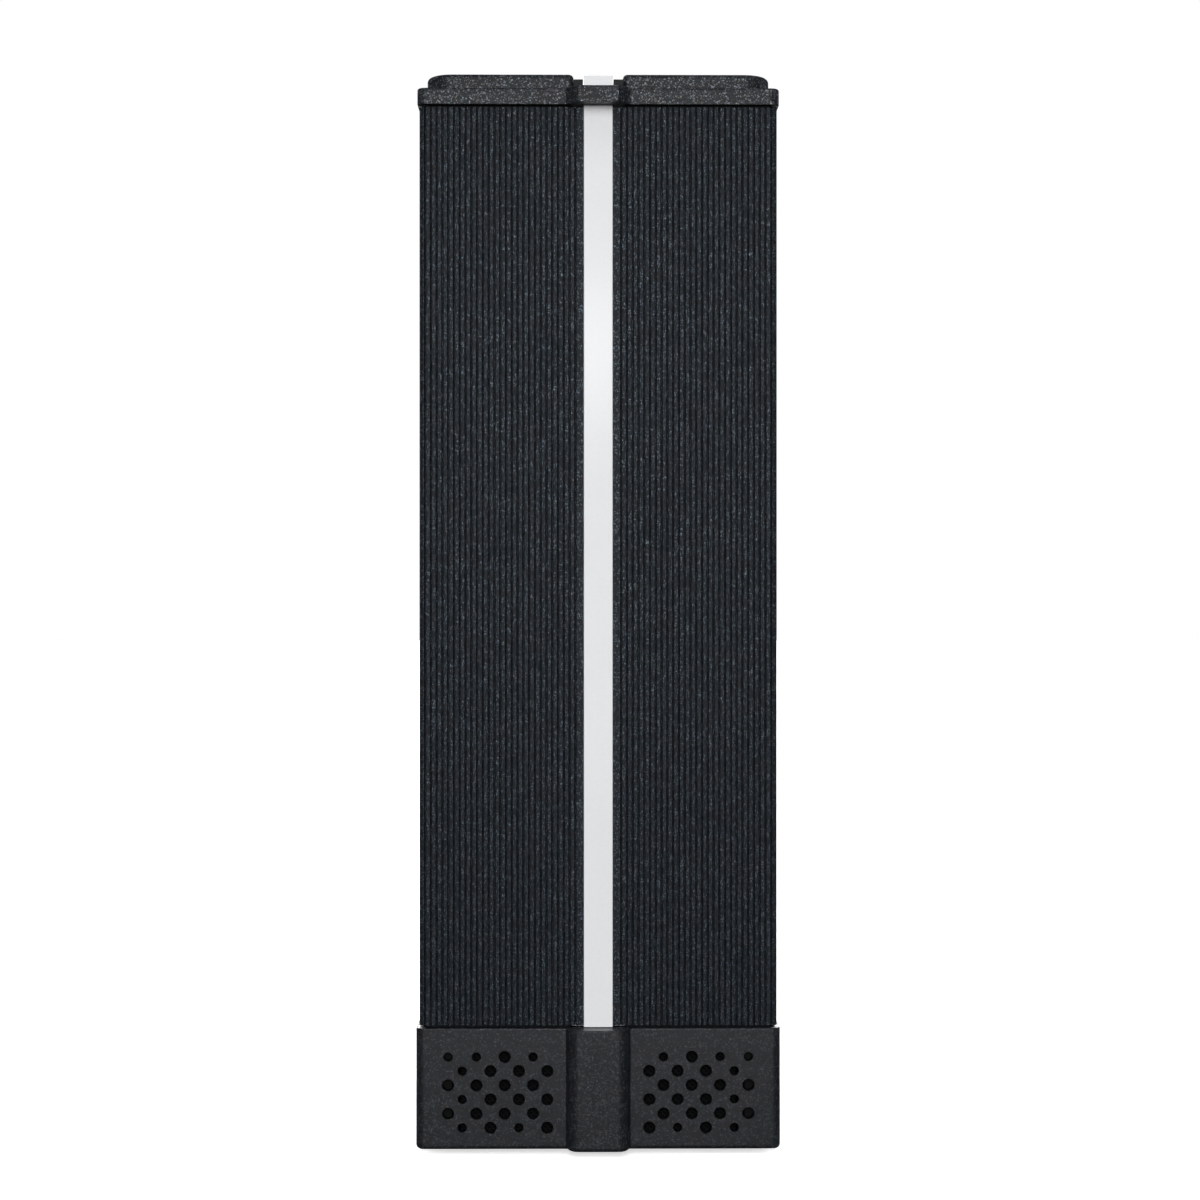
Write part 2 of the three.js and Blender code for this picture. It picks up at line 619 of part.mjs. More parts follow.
// Each lead runs from its socket on the control board up through the deck.
const LEADS = {
  fan_lead: [
    [22.8, 13.5, 16.3], [30, 10, 22], [40, 5, 28], [43.4, 3, 35], [43.4, 2, 43], [41.6, 2, 47],
  ],
  front_led_lead: [
    [-23, 13.5, 16.3], [-18, -4, 21], [-6, -34, 19], [0, -45.2, 27], [0, -46, 35], [0, -45, 41.4],
  ],
  rear_led_lead: [
    [24.8, 31.7, 16.3], [22, 38, 22], [12, 43, 28], [6.4, 44.6, 34], [5.2, 45, 38], [3.2, 45, 41.4],
  ],
};
Object.entries(LEADS).forEach(([name, points]) => add(name, lead(points), LEAD_GREY));

// ---------------------------------------------------------------- cap and filter, lifted out as one
const WINDOW = { x0: 10.4, x1: 40.8, y: 40.8 }; // air window under each pad
const PAD = { x0: 7.1, x1: 49.45, half: 49.45, outerRound: 7.3, innerRound: 1.5 };
const SKIRT_HALF = 43.2;
const SKIRT_BOTTOM = SHELL_TOP - 6.4;
const CHANNEL_HALF = 7.0;
const CHANNEL_FLOOR = CAP_TOP - 2.4;
const SLOT_END = CAP_HALF - 0.4;

function capPlate() {
  const skin = (inset) => postedSquare(CAP_HALF, BASE_CORNER, BRIDGE_PROUD, inset);
  const slab = loft([
    { outline: skin(0.2), z: CAP_BOTTOM },
    { outline: skin(0), z: CAP_BOTTOM + 0.2 },
    { outline: skin(0.25), z: CAP_TOP - 0.7 },
    { outline: skin(0.9), z: CAP_TOP },
  ]);
  const skirt = prism(roundSquare(SKIRT_HALF, 5.8), SKIRT_BOTTOM, CAP_BOTTOM + 0.1, [
    roundSquare(SKIRT_HALF - 1.8, 4.2),
  ]);
  const windowAt = (x0, x1) =>
    prism(roundRect(x0, x1, -WINDOW.y, WINDOW.y, 4), CAP_BOTTOM - 1, CAP_TOP + 1);
  const legHole = () => block(-4.5, 4.5, -SLOT_END, -46.5, CAP_BOTTOM - 1, CAP_TOP);
  return cut(slab.add(skirt), [
    windowAt(WINDOW.x0, WINDOW.x1),
    windowAt(-WINDOW.x1, -WINDOW.x0),
    block(-CHANNEL_HALF, CHANNEL_HALF, -SLOT_END, SLOT_END, CHANNEL_FLOOR, CAP_TOP + 1),
    ...frontAndRear(legHole),
    ...cornerBars(ROD_AT, 3.5, CAP_BOTTOM - 1, CAP_BOTTOM + 4.1, 12),
  ]);
}

/** The right pad: a shallow box with transverse outlet slots in its top. */
function outletGrille() {
  const { x0, x1, half, outerRound, innerRound } = PAD;
  const skin = (inset) => {
    const inner = Math.max(innerRound - inset, 0.3);
    const outer = outerRound - inset;
    return roundRect(x0 + inset, x1 - inset, -half + inset, half - inset, [inner, outer, outer, inner]);
  };
  const box = loft([
    { outline: skin(0), z: CAP_TOP + 0.1 },
    { outline: skin(0.15), z: PAD_TOP - 1.2 },
    { outline: skin(0.5), z: PAD_TOP - 0.4 },
    { outline: skin(1.2), z: PAD_TOP },
  ]);
  const window = roundRect(WINDOW.x0, WINDOW.x1, -WINDOW.y, WINDOW.y, 4);
  const pocket = prism(window, CAP_TOP - 1, PAD_TOP - 1.8);
  const slots = Array.from({ length: 15 }, (_, i) => {
    const y = (i - 7) * 5.4;
    return block(11.2, 40, y - 1.4, y + 1.4, PAD_TOP - 3, PAD_TOP + 1);
  });
  return cut(box, [pocket, ...slots]);
}

/** The frame of the top light bar: a channel section, open at both ends for the bar's legs. */
function lightBarBezel() {
  const end = SLOT_END - 0.2;
  const leg = () => block(-4.4, 4.4, -end - 1, -46.7, CHANNEL_FLOOR, BEZEL_TOP);
  return cut(block(-6.8, 6.8, -end, end, CHANNEL_FLOOR + 0.1, BEZEL_TOP), [
    block(-4.4, 4.4, -end - 1, end + 1, CHANNEL_FLOOR + 1.1, BEZEL_TOP + 1),
    ...frontAndRear(leg),
  ]);
}

/** The opal bar over the top, with a leg at each end that meets the strip below. */
function topLightBar() {
  const end = SHELL_HALF + 0.1;
  const half = 4.17;
  const leg = () => block(-half, half, -end, -end + 2.3, CAP_BOTTOM + 0.1, CHANNEL_FLOOR + 1.5);
  return joined([block(-half, half, -end, end, CHANNEL_FLOOR + 1.3, BAR_TOP), ...frontAndRear(leg)]);
}

const FILTER_PLATE_TOP = SKIRT_BOTTOM - 0.2;
const FILTER_PLATE_BOTTOM = FILTER_PLATE_TOP - 4;

/** Pleated media as a star-shaped tube. */
function filterMedia() {
  const star = Array.from({ length: PLEATS * 2 }, (_, i) => {
    const angle = (Math.PI * i) / PLEATS;
    const radius = i % 2 ? FILTER_RADIUS - 6.5 : FILTER_RADIUS;
    return point(radius * Math.cos(angle), radius * Math.sin(angle));
  });
  const bore = arc(0, 0, FILTER_BORE, 360, 0, 24).slice(0, -1);
  return prism(star, FILTER_BOTTOM + 6.2, MEDIA_TOP - 0.2, [bore]);
}

const filterTopPlate = () =>
  cut(prism(roundSquare(43.0, 6.4), FILTER_PLATE_BOTTOM, FILTER_PLATE_TOP), [
    bar(0, 0, 29, FILTER_PLATE_BOTTOM - 1, FILTER_PLATE_TOP + 1, 28),
  ]);

const filterSeal = () =>
  cut(prism(roundSquare(43.35, 6.6), FILTER_PLATE_BOTTOM - 1.6, FILTER_PLATE_BOTTOM - 0.1), [
    bar(0, 0, FILTER_RADIUS + 0.6, FILTER_PLATE_BOTTOM - 3, FILTER_PLATE_BOTTOM + 1, 28),
  ]);

/** The closed lower end of the filter, a shallow dish under the media. */
const filterBottomCap = () =>
  bar(0, 0, 41.5, FILTER_BOTTOM, FILTER_BOTTOM + 9, 36).subtract(
    bar(0, 0, FILTER_RADIUS + 0.4, FILTER_BOTTOM + 6, FILTER_BOTTOM + 10, 36),
  );

const magnet = (p) => bar(p.x, p.y, 3.1, CAP_BOTTOM + 2.0, CAP_BOTTOM + 4.0, 12);

add("cap_plate", capPlate(), TEXTURED_BLACK);
add("right_outlet_grille", outletGrille(), TEXTURED_BLACK);
add("left_outlet_grille", outletGrille().rotate([0, 0, 180]), TEXTURED_BLACK);
add("light_bar_bezel", lightBarBezel(), PLAIN_BLACK);
add("top_light_bar", topLightBar(), OPAL_WHITE);
corners(ROD_AT).forEach((p, i) => add(`cap_magnet_${CORNER_NAMES[i]}`, magnet(p), MAGNET_NICKEL));
add("filter_top_plate", filterTopPlate(), PLAIN_BLACK);
add("filter_seal", filterSeal(), RUBBER);
add("filter_media", filterMedia(), FILTER_WHITE);
add("carbon_sleeve", tube(FILTER_BORE - 0.3, 26, FILTER_BOTTOM + 6.4, MEDIA_TOP - 0.4, 24), CARBON_BLACK);
add("filter_bottom_cap", filterBottomCap(), PLAIN_BLACK);

export default purifier;
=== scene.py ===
"""A desktop tower air purifier, dressed for rendering: its pieces, finishes, studio and camera.

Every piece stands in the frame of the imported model, in metres, with the front towards -Y.
"""

import json
import logging
import math
from collections.abc import Callable, Iterator
from contextlib import contextmanager
from dataclasses import dataclass, field
from enum import Enum
from typing import Any

import bmesh
import bpy
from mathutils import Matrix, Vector


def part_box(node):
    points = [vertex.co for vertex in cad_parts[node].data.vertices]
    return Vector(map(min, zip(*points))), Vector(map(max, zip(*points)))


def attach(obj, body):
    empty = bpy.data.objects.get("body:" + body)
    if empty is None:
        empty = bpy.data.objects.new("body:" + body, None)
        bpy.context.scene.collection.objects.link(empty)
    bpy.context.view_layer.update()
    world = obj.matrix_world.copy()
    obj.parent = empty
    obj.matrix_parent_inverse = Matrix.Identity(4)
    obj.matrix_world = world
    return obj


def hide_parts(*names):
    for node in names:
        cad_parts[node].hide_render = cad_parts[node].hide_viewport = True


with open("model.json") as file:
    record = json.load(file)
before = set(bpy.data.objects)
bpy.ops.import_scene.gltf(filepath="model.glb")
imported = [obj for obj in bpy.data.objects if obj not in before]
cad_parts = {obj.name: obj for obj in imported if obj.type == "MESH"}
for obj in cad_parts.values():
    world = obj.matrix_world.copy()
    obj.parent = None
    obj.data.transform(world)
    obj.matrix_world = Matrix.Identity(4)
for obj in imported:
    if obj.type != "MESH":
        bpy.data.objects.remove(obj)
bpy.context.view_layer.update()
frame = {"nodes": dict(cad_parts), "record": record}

MM = 0.001
TINY = 0.01 * MM  # places closer than this are the same
SHARP = 0.3  # radians between two faces from which their edge counts as sharp
ROD_AT = 45.4 * MM  # how far the four tie rods stand from the middle, both ways

Piece = bpy.types.Object
Finishes = dict[str, bpy.types.Material]

log = logging.getLogger("air_purifier")


class Side(Enum):
    """The four sides of the tower, with the turn in degrees that brings the front to each."""

    FRONT = 0
    RIGHT = 90
    REAR = 180
    LEFT = 270


class Corner(Enum):
    """The four corners of the plan, as signs of x and y."""

    FRONT_LEFT = (-1, -1)
    FRONT_RIGHT = (1, -1)
    REAR_RIGHT = (1, 1)
    REAR_LEFT = (-1, 1)


class Body(Enum):
    """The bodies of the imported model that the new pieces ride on."""

    HOUSING = "housing"
    CAP = "cap_and_filter"
    BUTTON = "button"


class Cut(Enum):
    """How one solid changes another."""

    TAKE_AWAY = "DIFFERENCE"
    ADD = "UNION"


# ---------------------------------------------------------------- bench tools


def take(*pieces: Piece) -> None:
    """Selects only these pieces, and makes the first one active.

    Args:
        pieces: what gets selected.
    """
    bpy.ops.object.select_all(action="DESELECT")
    for piece in pieces:
        piece.select_set(True)
    bpy.context.view_layer.objects.active = pieces[0]


def settle(piece: Piece) -> Piece:
    """Moves a piece's place, turn and size into its mesh, which leaves its object at the origin.

    Args:
        piece: the piece.

    Returns:
        The same piece.
    """
    take(piece)
    bpy.ops.object.transform_apply(location=True, rotation=True, scale=True)
    return piece


def named(name: str) -> Piece:
    """Names the piece that an operator has just added.

    Args:
        name: its name, for the object and its mesh.

    Returns:
        The piece.
    """
    piece = bpy.context.active_object
    piece.name = piece.data.name = name
    return piece


def block(name: str, low: Vector | tuple, high: Vector | tuple) -> Piece:
    """Adds a block between two corners.

    Args:
        name: the piece's name.
        low: its lowest corner.
        high: its highest corner.

    Returns:
        The block, its place in its mesh.
    """
    low, high = Vector(low), Vector(high)
    bpy.ops.object.select_all(action="DESELECT")
    bpy.ops.mesh.primitive_cube_add(size=1, location=(low + high) / 2)
    piece = named(name)
    piece.scale = high - low
    return settle(piece)


def upright(
    name: str, x: float, y: float, radius: float, z0: float, z1: float, sides: int = 32
) -> Piece:
    """Adds a round bar that stands on (x, y).

    Args:
        name: the piece's name.
        x: the place of its axis.
        y: the place of its axis.
        radius: its radius.
        z0: its lower end.
        z1: its upper end.
        sides: the number of flat faces round it.

    Returns:
        The bar, its place in its mesh.
    """
    bpy.ops.object.select_all(action="DESELECT")
    bpy.ops.mesh.primitive_cylinder_add(
        vertices=sides, radius=radius, depth=z1 - z0, location=(x, y, (z0 + z1) / 2)
    )
    return settle(named(name))


def turned(piece: Piece, degrees: float) -> Piece:
    """Turns a piece about the tower's upright axis."""
    piece.rotation_euler[2] = math.radians(degrees)
    return settle(piece)


def laid_along_y(piece: Piece) -> Piece:
    """Tips a piece that stands on +Z so that it points to -Y."""
    piece.rotation_euler[0] = math.radians(90)
    return settle(piece)


def moved(piece: Piece, x: float, y: float, z: float) -> Piece:
    """Moves a piece by a step."""
    piece.location = (x, y, z)
    return settle(piece)


def twin(piece: Piece, name: str) -> Piece:
    """Copies a piece, with a mesh of its own.

    Args:
        piece: what gets copied.
        name: the copy's name.

    Returns:
        The copy.
    """
    take(piece)
    bpy.ops.object.duplicate(linked=False)
    return named(name)


def together(pieces: list[Piece]) -> Piece:
    """Joins pieces into the first one.

    Args:
        pieces: what gets joined.

    Returns:
        The joined piece.
    """
    take(*pieces)
    bpy.ops.object.join()
    return bpy.context.active_object


@contextmanager
def editing(piece: Piece) -> Iterator[None]:
    """Opens a piece in edit mode with nothing selected, and closes it again.

    Args:
        piece: the piece.

    Yields:
        Nothing.
    """
    take(piece)
    bpy.ops.object.mode_set(mode="EDIT")
    bpy.ops.mesh.select_all(action="DESELECT")
    yield
    bpy.ops.object.mode_set(mode="OBJECT")


def pick(kind: str, test: Callable[[Any], bool]) -> int:
    """Selects the edges or faces that pass a test, in edit mode.

    Args:
        kind: "EDGE" or "FACE".
        test: says whether an element is wanted.

    Returns:
        How many were picked.
    """
    bpy.ops.mesh.select_mode(type=kind)
    bpy.ops.mesh.select_all(action="DESELECT")
    mesh = bpy.context.edit_object.data
    shape = bmesh.from_edit_mesh(mesh)
    wanted = [e for e in (shape.edges if kind == "EDGE" else shape.faces) if test(e)]
    for element in wanted:
        element.select_set(True)
    bmesh.update_edit_mesh(mesh)
    return len(wanted)


def middle(edge: bmesh.types.BMEdge) -> Vector:
    """The middle of an edge."""
    return (edge.verts[0].co + edge.verts[1].co) / 2


def stands(edge: bmesh.types.BMEdge) -> bool:
    """Whether an edge runs along Z."""
    step = edge.verts[0].co - edge.verts[1].co
    return abs(step.z) > TINY and abs(step.x) + abs(step.y) < TINY


def rim_at(z: float) -> Callable[[bmesh.types.BMEdge], bool]:
    """A test for the sharp edges that lie at one height.

    Args:
        z: the height.

    Returns:
        The test.
    """

    def test(edge: bmesh.types.BMEdge) -> bool:
        """Whether both ends are at the height and the faces beside it meet at an angle."""
        level = all(abs(v.co.z - z) < TINY for v in edge.verts)
        return level and edge.is_manifold and edge.calc_face_angle(0) > SHARP

    return test


def round_off(piece: Piece, width: float, segments: int, test: Callable[[Any], bool]) -> None:
    """Rounds the edges of a piece that pass a test.

    Args:
        piece: the piece.
        width: how far the rounding reaches along each face.
        segments: how many steps it has.
        test: says whether an edge is rounded.
    """
    with editing(piece):
        if pick("EDGE", test):
            bpy.ops.mesh.bevel(offset=width, segments=segments, profile=0.5, affect="EDGES")


def apply(piece: Piece, kind: str, **settings: Any) -> None:
    """Adds a modifier with its settings and applies it.

    Args:
        piece: the piece.
        kind: the modifier's type, such as "BOOLEAN".
        settings: its properties by name.
    """
    take(piece)
    modifier = piece.modifiers.new(kind.lower(), kind)
    for key, value in settings.items():
        setattr(modifier, key, value)
    bpy.ops.object.modifier_apply(modifier=modifier.name)


def combine(piece: Piece, tools: list[Piece], how: Cut) -> None:
    """Cuts tools out of a piece, or adds them to it, and removes them.

    Args:
        piece: the piece that changes.
        tools: solids that do not touch each other, used up here.
        how: whether they are taken away or added.
    """
    tool = together(tools) if len(tools) > 1 else tools[0]
    apply(piece, "BOOLEAN", operation=how.value, object=tool, solver="MANIFOLD")
    bpy.data.objects.remove(tool, do_unlink=True)


def smooth(piece: Piece, degrees: float) -> None:
    """Shades a piece smooth across its gentle edges, with its flat faces kept flat."""
    take(piece)
    bpy.ops.object.shade_smooth_by_angle(angle=math.radians(degrees))
    apply(piece, "WEIGHTED_NORMAL", keep_sharp=True)


def dress(piece: Piece, finish: bpy.types.Material) -> None:
    """Gives a whole piece one finish."""
    piece.data.materials.clear()
    piece.data.materials.append(finish)


def dress_part(piece: Piece, finish: bpy.types.Material, test: Callable[[Any], bool]) -> None:
    """Gives the faces that pass a test a second finish.

    Args:
        piece: a piece that already has its main finish.
        finish: the second finish.
        test: says whether a face takes it.
    """
    piece.data.materials.append(finish)
    with editing(piece):
        pick("FACE", test)
        piece.active_material_index = len(piece.data.materials) - 1
        bpy.ops.object.material_slot_assign()


def hand_over(
    piece: Piece,
    finish: bpy.types.Material,
    body: Body,
    node: str,
    degrees: float = 35,
) -> None:
    """Shades and dresses a modelled piece, and says where it belongs.

    Args:
        piece: the modelled piece.
        finish: its finish.
        body: the body that it rides on.
        node: the CAD node that it replaces.
        degrees: the angle below which its edges are shaded smooth.
    """
    smooth(piece, degrees)
    dress(piece, finish)
    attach(piece, body.value)
    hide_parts(node)
    log.info("%s: %d faces, rides on %s", piece.name, len(piece.data.polygons), body.value)


def rod_places() -> list[tuple[float, float]]:
    """Where the four tie rods stand in the plan."""
    return [(x * ROD_AT, y * ROD_AT) for x, y in (corner.value for corner in Corner)]


def rounded_block(name: str, low: tuple, high: tuple, radius: float, segments: int = 6) -> Piece:
    """A block with round upright edges.

    Args:
        name: the piece's name.
        low: its lowest corner.
        high: its highest corner.
        radius: how far the rounding reaches along each side.
        segments: how many steps the rounding has.

    Returns:
        The block.
    """
    piece = block(name, low, high)
    round_off(piece, radius, segments, stands)
    return piece


# ---------------------------------------------------------------- finishes


def linear(colour: str) -> tuple[float, float, float, float]:
    """Turns an sRGB hex colour into the linear values that a shader takes.

    Args:
        colour: six hex digits.

    Returns:
        Red, green, blue and full opacity.
    """
    parts = [int(colour[i : i + 2], 16) / 255 for i in (0, 2, 4)]
    red, green, blue = (
        p / 12.92 if p <= 0.04045 else ((p + 0.055) / 1.055) ** 2.4 for p in parts
    )
    return (red, green, blue, 1.0)


def add_node(
    tree: bpy.types.NodeTree, kind: str, settings: dict[Any, Any], links: dict[Any, Any]
) -> Any:
    """Adds a node, sets it up and links its inputs.

    Args:
        tree: the material's node tree.
        kind: the node's type, such as "ShaderNodeTexNoise".
        settings: values by name, of the node's own properties or else of its inputs.
        links: output sockets by the name or number of the input that takes them.

    Returns:
        The node.
    """
    node = tree.nodes.new(kind)
    for key, value in settings.items():
        if isinstance(key, str) and hasattr(node, key):
            setattr(node, key, value)
        else:
            node.inputs[key].default_value = value
    for key, socket in links.items():
        tree.links.new(socket, node.inputs[key])
    return node


def toned(colour: str, swing: float) -> tuple[float, float, float, float]:
    """A colour made lighter or darker by a share of itself, in linear values."""
    red, green, blue, alpha = linear(colour)
    return (*(min(part * (1 + swing), 1.0) for part in (red, green, blue)), alpha)


@dataclass(frozen=True)
class Finish:
    """What every finish shares: a name, a colour and how its surface takes light."""

    name: str
    colour: str
    roughness: float
    ior: float = 1.5
    metallic: float = 0.0
    specular: float = 0.5

    def make(self) -> bpy.types.Material:
        """Builds the material.

        Returns:
            The material, with its pattern on Object coordinates.
        """
        material = bpy.data.materials.new(self.name)
        material.use_nodes = True
        tree = material.node_tree
        shader = tree.nodes["Principled BSDF"]
        shader.inputs["Base Color"].default_value = linear(self.colour)
        shader.inputs["Roughness"].default_value = self.roughness
        shader.inputs["IOR"].default_value = self.ior
        shader.inputs["Metallic"].default_value = self.metallic
        shader.inputs["Specular IOR Level"].default_value = self.specular
        place_on = add_node(tree, "ShaderNodeTexCoord", {}, {}).outputs["Object"]
        self.pattern(tree, shader, place_on)
        return material

    def pattern(self, tree: bpy.types.NodeTree, shader: Any, place_on: Any) -> None:
        """Adds the finish's own detail. The plain finish has none."""


@dataclass(frozen=True)
class SparkedAbs(Finish):
    """Moulded ABS with metal flake: a spark-eroded skin whose grain and flecks catch the light."""

    cool_fleck: str = "8a97a8"
    warm_fleck: str = "8f8a86"
    grain_mm: float = 0.30
    fleck_mm: float = 0.34
    fleck_share: float = 0.5
    fleck_falloff: float = 3.0
    tone_swing: float = 0.4
    fleck_polish: float = 0.7
    relief_mm: float = 0.05
    cloud_mm: float = 5.0
    cloud_reach: float = 0.15
    cool_cloud: tuple[float, float, float] = (0.82, 0.97, 1.10)
    warm_cloud: tuple[float, float, float] = (1.14, 0.98, 1.06)

    def pattern(self, tree: bpy.types.NodeTree, shader: Any, place_on: Any) -> None:
        """Adds flecks, tone variation and the eroded grain.

        Args:
            tree: the node tree.
            shader: its principled shader.
            place_on: the coordinates.
        """
        # Real flakes are about 0.05 mm: drawn several times coarser, so that they still show.
        cells = add_node(
            tree,
            "ShaderNodeTexVoronoi",
            {"Scale": 1 / (self.fleck_mm * MM)},
            {"Vector": place_on},
        )
        chance = add_node(
            tree, "ShaderNodeSeparateColor", {}, {"Color": cells.outputs["Color"]}
        )
        shine = add_node(
            tree,
            "ShaderNodeMapRange",
            {"From Min": 1 - self.fleck_share, "From Max": 1.0},
            {"Value": chance.outputs["Red"]},
        )
        fleck = add_node(
            tree,
            "ShaderNodeMath",
            {"operation": "POWER", 1: self.fleck_falloff},
            {0: shine.outputs["Result"]},
        )
        tint = add_node(
            tree,
            "ShaderNodeMix",
            {
                "data_type": "RGBA",
                "A": linear(self.cool_fleck),
                "B": linear(self.warm_fleck),
            },
            {"Factor": chance.outputs["Green"]},
        )
        grain = add_node(
            tree,
            "ShaderNodeTexNoise",
            {"Scale": 1 / (self.grain_mm * MM), "Detail": 3.0, "Roughness": 0.7},
            {"Vector": place_on},
        )
        tone = add_node(
            tree,
            "ShaderNodeMix",
            {
                "data_type": "RGBA",
                "A": toned(self.colour, -self.tone_swing),
                "B": toned(self.colour, self.tone_swing),
            },
            {"Factor": grain.outputs["Fac"]},
        )
        cloud = add_node(
            tree,
            "ShaderNodeTexNoise",
            {"Scale": 1 / (self.cloud_mm * MM), "Detail": 2.0},
            {"Vector": place_on},
        )
        drift = add_node(
            tree,
            "ShaderNodeMapRange",
            {"From Min": 0.5 - self.cloud_reach, "From Max": 0.5 + self.cloud_reach},
            {"Value": cloud.outputs["Fac"]},
        )
        hue = add_node(
            tree,
            "ShaderNodeMix",
            {
                "data_type": "RGBA",
                "A": (*self.cool_cloud, 1.0),
                "B": (*self.warm_cloud, 1.0),
            },
            {"Factor": drift.outputs["Result"]},
        )
        clouded = add_node(
            tree,
            "ShaderNodeMix",
            {"data_type": "RGBA", "blend_type": "MULTIPLY", "Factor": 1.0},
            {"A": tone.outputs["Result"], "B": hue.outputs["Result"]},
        )
        flecked = add_node(
            tree,
            "ShaderNodeMix",
            {"data_type": "RGBA"},
            {
                "Factor": fleck.outputs["Value"],
                "A": clouded.outputs["Result"],
                "B": tint.outputs["Result"],
            },
        )
        tree.links.new(flecked.outputs["Result"], shader.inputs["Base Color"])
        tree.links.new(fleck.outputs["Value"], shader.inputs["Metallic"])
        sheen = add_node(
            tree,
            "ShaderNodeMapRange",
            {"To Min": self.roughness, "To Max": self.roughness * self.fleck_polish},
            {"Value": fleck.outputs["Value"]},
        )
        tree.links.new(sheen.outputs["Result"], shader.inputs["Roughness"])
        skin = add_node(
            tree,
            "ShaderNodeBump",
            {"Strength": 1.0, "Distance": self.relief_mm * MM},
            {"Height": grain.outputs["Fac"]},
        )
        tree.links.new(skin.outputs["Normal"], shader.inputs["Normal"])


@dataclass(frozen=True)
class GrainedPlastic(Finish):
    """A moulded or cast surface with a fine grain: its tone and gloss vary a little all over."""

    grain_mm: float = 0.5
    cloud_mm: float = 35.7
    cloud_reach: float = 0.4
    relief_mm: float = 0.02
    tone_swing: float = 0.15
    gloss_swing: float = 0.08

    def pattern(self, tree: bpy.types.NodeTree, shader: Any, place_on: Any) -> None:
        """Adds the grain, and a slow change of tone over a few centimetres.

        Args:
            tree: the node tree.
            shader: its principled shader.
            place_on: the coordinates.
        """
        grain = add_node(
            tree,
            "ShaderNodeTexNoise",
            {"Scale": 1 / (self.grain_mm * MM), "Detail": 4.0},
            {"Vector": place_on},
        )
        cloud = add_node(
            tree,
            "ShaderNodeTexNoise",
            {"Scale": 1 / (self.cloud_mm * MM), "Detail": 2.0},
            {"Vector": place_on},
        )
        blend = add_node(
            tree,
            "ShaderNodeMath",
            {"operation": "ADD"},
            {0: grain.outputs["Fac"], 1: cloud.outputs["Fac"]},
        )
        tone = add_node(
            tree,
            "ShaderNodeMapRange",
            {"From Min": 1 - self.cloud_reach, "From Max": 1 + self.cloud_reach},
            {"Value": blend.outputs["Value"]},
        )
        mix = add_node(
            tree,
            "ShaderNodeMix",
            {
                "data_type": "RGBA",
                "A": toned(self.colour, -self.tone_swing),
                "B": toned(self.colour, self.tone_swing),
            },
            {"Factor": tone.outputs["Result"]},
        )
        tree.links.new(mix.outputs["Result"], shader.inputs["Base Color"])
        gloss = add_node(
            tree,
            "ShaderNodeMapRange",
            {
                "To Min": self.roughness - self.gloss_swing,
                "To Max": self.roughness + self.gloss_swing,
            },
            {"Value": grain.outputs["Fac"]},
        )
        tree.links.new(gloss.outputs["Result"], shader.inputs["Roughness"])
        skin = add_node(
            tree,
            "ShaderNodeBump",
            {"Strength": 1.0, "Distance": self.relief_mm * MM},
            {"Height": grain.outputs["Fac"]},
        )
        tree.links.new(skin.outputs["Normal"], shader.inputs["Normal"])


@dataclass(frozen=True)
class WovenScreen(Finish):
    """Black nylon mesh, woven at 0.8 mm: threads over openings painted near-black as the shade
    behind them.
    """

    pitch_mm: float = 0.8
    relief_mm: float = 0.15
    # Painted shade: the openings between the threads take this near-black, standing for the dark
    # room behind them.
    gap: str = "020202"
    bands_per_unit: float = 3.18  # what a wave texture draws at scale 1

    def pattern(self, tree: bpy.types.NodeTree, shader: Any, place_on: Any) -> None:
        """Adds the threads both ways, as colour and relief.

        Args:
            tree: the node tree.
            shader: its principled shader.
            place_on: the coordinates.
        """
        scale = 1 / (self.pitch_mm * MM * self.bands_per_unit)
        waves = [
            add_node(
                tree,
                "ShaderNodeTexWave",
                {"Scale": scale, "bands_direction": direction},
                {"Vector": place_on},
            ).outputs["Fac"]
            for direction in ("Z", "DIAGONAL")
        ]
        thread = add_node(
            tree, "ShaderNodeMath", {"operation": "MAXIMUM"}, {0: waves[0], 1: waves[1]}
        )
        mix = add_node(
            tree,
            "ShaderNodeMix",
            {"data_type": "RGBA", "A": linear(self.gap), "B": linear(self.colour)},
            {"Factor": thread.outputs["Value"]},
        )
        tree.links.new(mix.outputs["Result"], shader.inputs["Base Color"])
        skin = add_node(
            tree,
            "ShaderNodeBump",
            {"Strength": 1.0, "Distance": self.relief_mm * MM},
            {"Height": thread.outputs["Value"]},
        )
        tree.links.new(skin.outputs["Normal"], shader.inputs["Normal"])


@dataclass(frozen=True)
class Granules(Finish):
    """Crushed carbon held in a tube: dull black grains of a millimetre or two."""

    grain_mm: float = 1.6
    relief_mm: float = 0.5
    joint: str = "040404"

    def pattern(self, tree: bpy.types.NodeTree, shader: Any, place_on: Any) -> None:
        """Adds the grains as relief with dark joints.

        Args:
            tree: the node tree.
            shader: its principled shader.
            place_on: the coordinates.
        """
        cells = add_node(
            tree,
            "ShaderNodeTexVoronoi",
            {"Scale": 1 / (self.grain_mm * MM)},
            {"Vector": place_on},
        )
        mix = add_node(
            tree,
            "ShaderNodeMix",
            {"data_type": "RGBA", "A": linear(self.colour), "B": linear(self.joint)},
            {"Factor": cells.outputs["Distance"]},
        )
        tree.links.new(mix.outputs["Result"], shader.inputs["Base Color"])
        skin = add_node(
            tree,
            "ShaderNodeBump",
            {"Strength": 1.0, "Distance": self.relief_mm * MM, "invert": True},
            {"Height": cells.outputs["Distance"]},
        )
        tree.links.new(skin.outputs["Normal"], shader.inputs["Normal"])


# Cap: the same sparked plastic as the base, with a coarse spark skin and plenty of flake, so its
# flats sparkle and its slopes go dark; its ground and flake are lighter than the base's as painted
# light, standing for the stronger light near the top.
CAP_ABS_PAINTED_LIGHT = SparkedAbs(
    "sparked_abs_cap_painted_light",
    "15181c",
    0.5,
    ior=1.55,
    specular=0.68,
    relief_mm=0.036,
    cool_fleck="9ca9b8",
    warm_fleck="a29c96",
    fleck_share=0.46,
    fleck_mm=0.3,
    fleck_falloff=3.2,
)
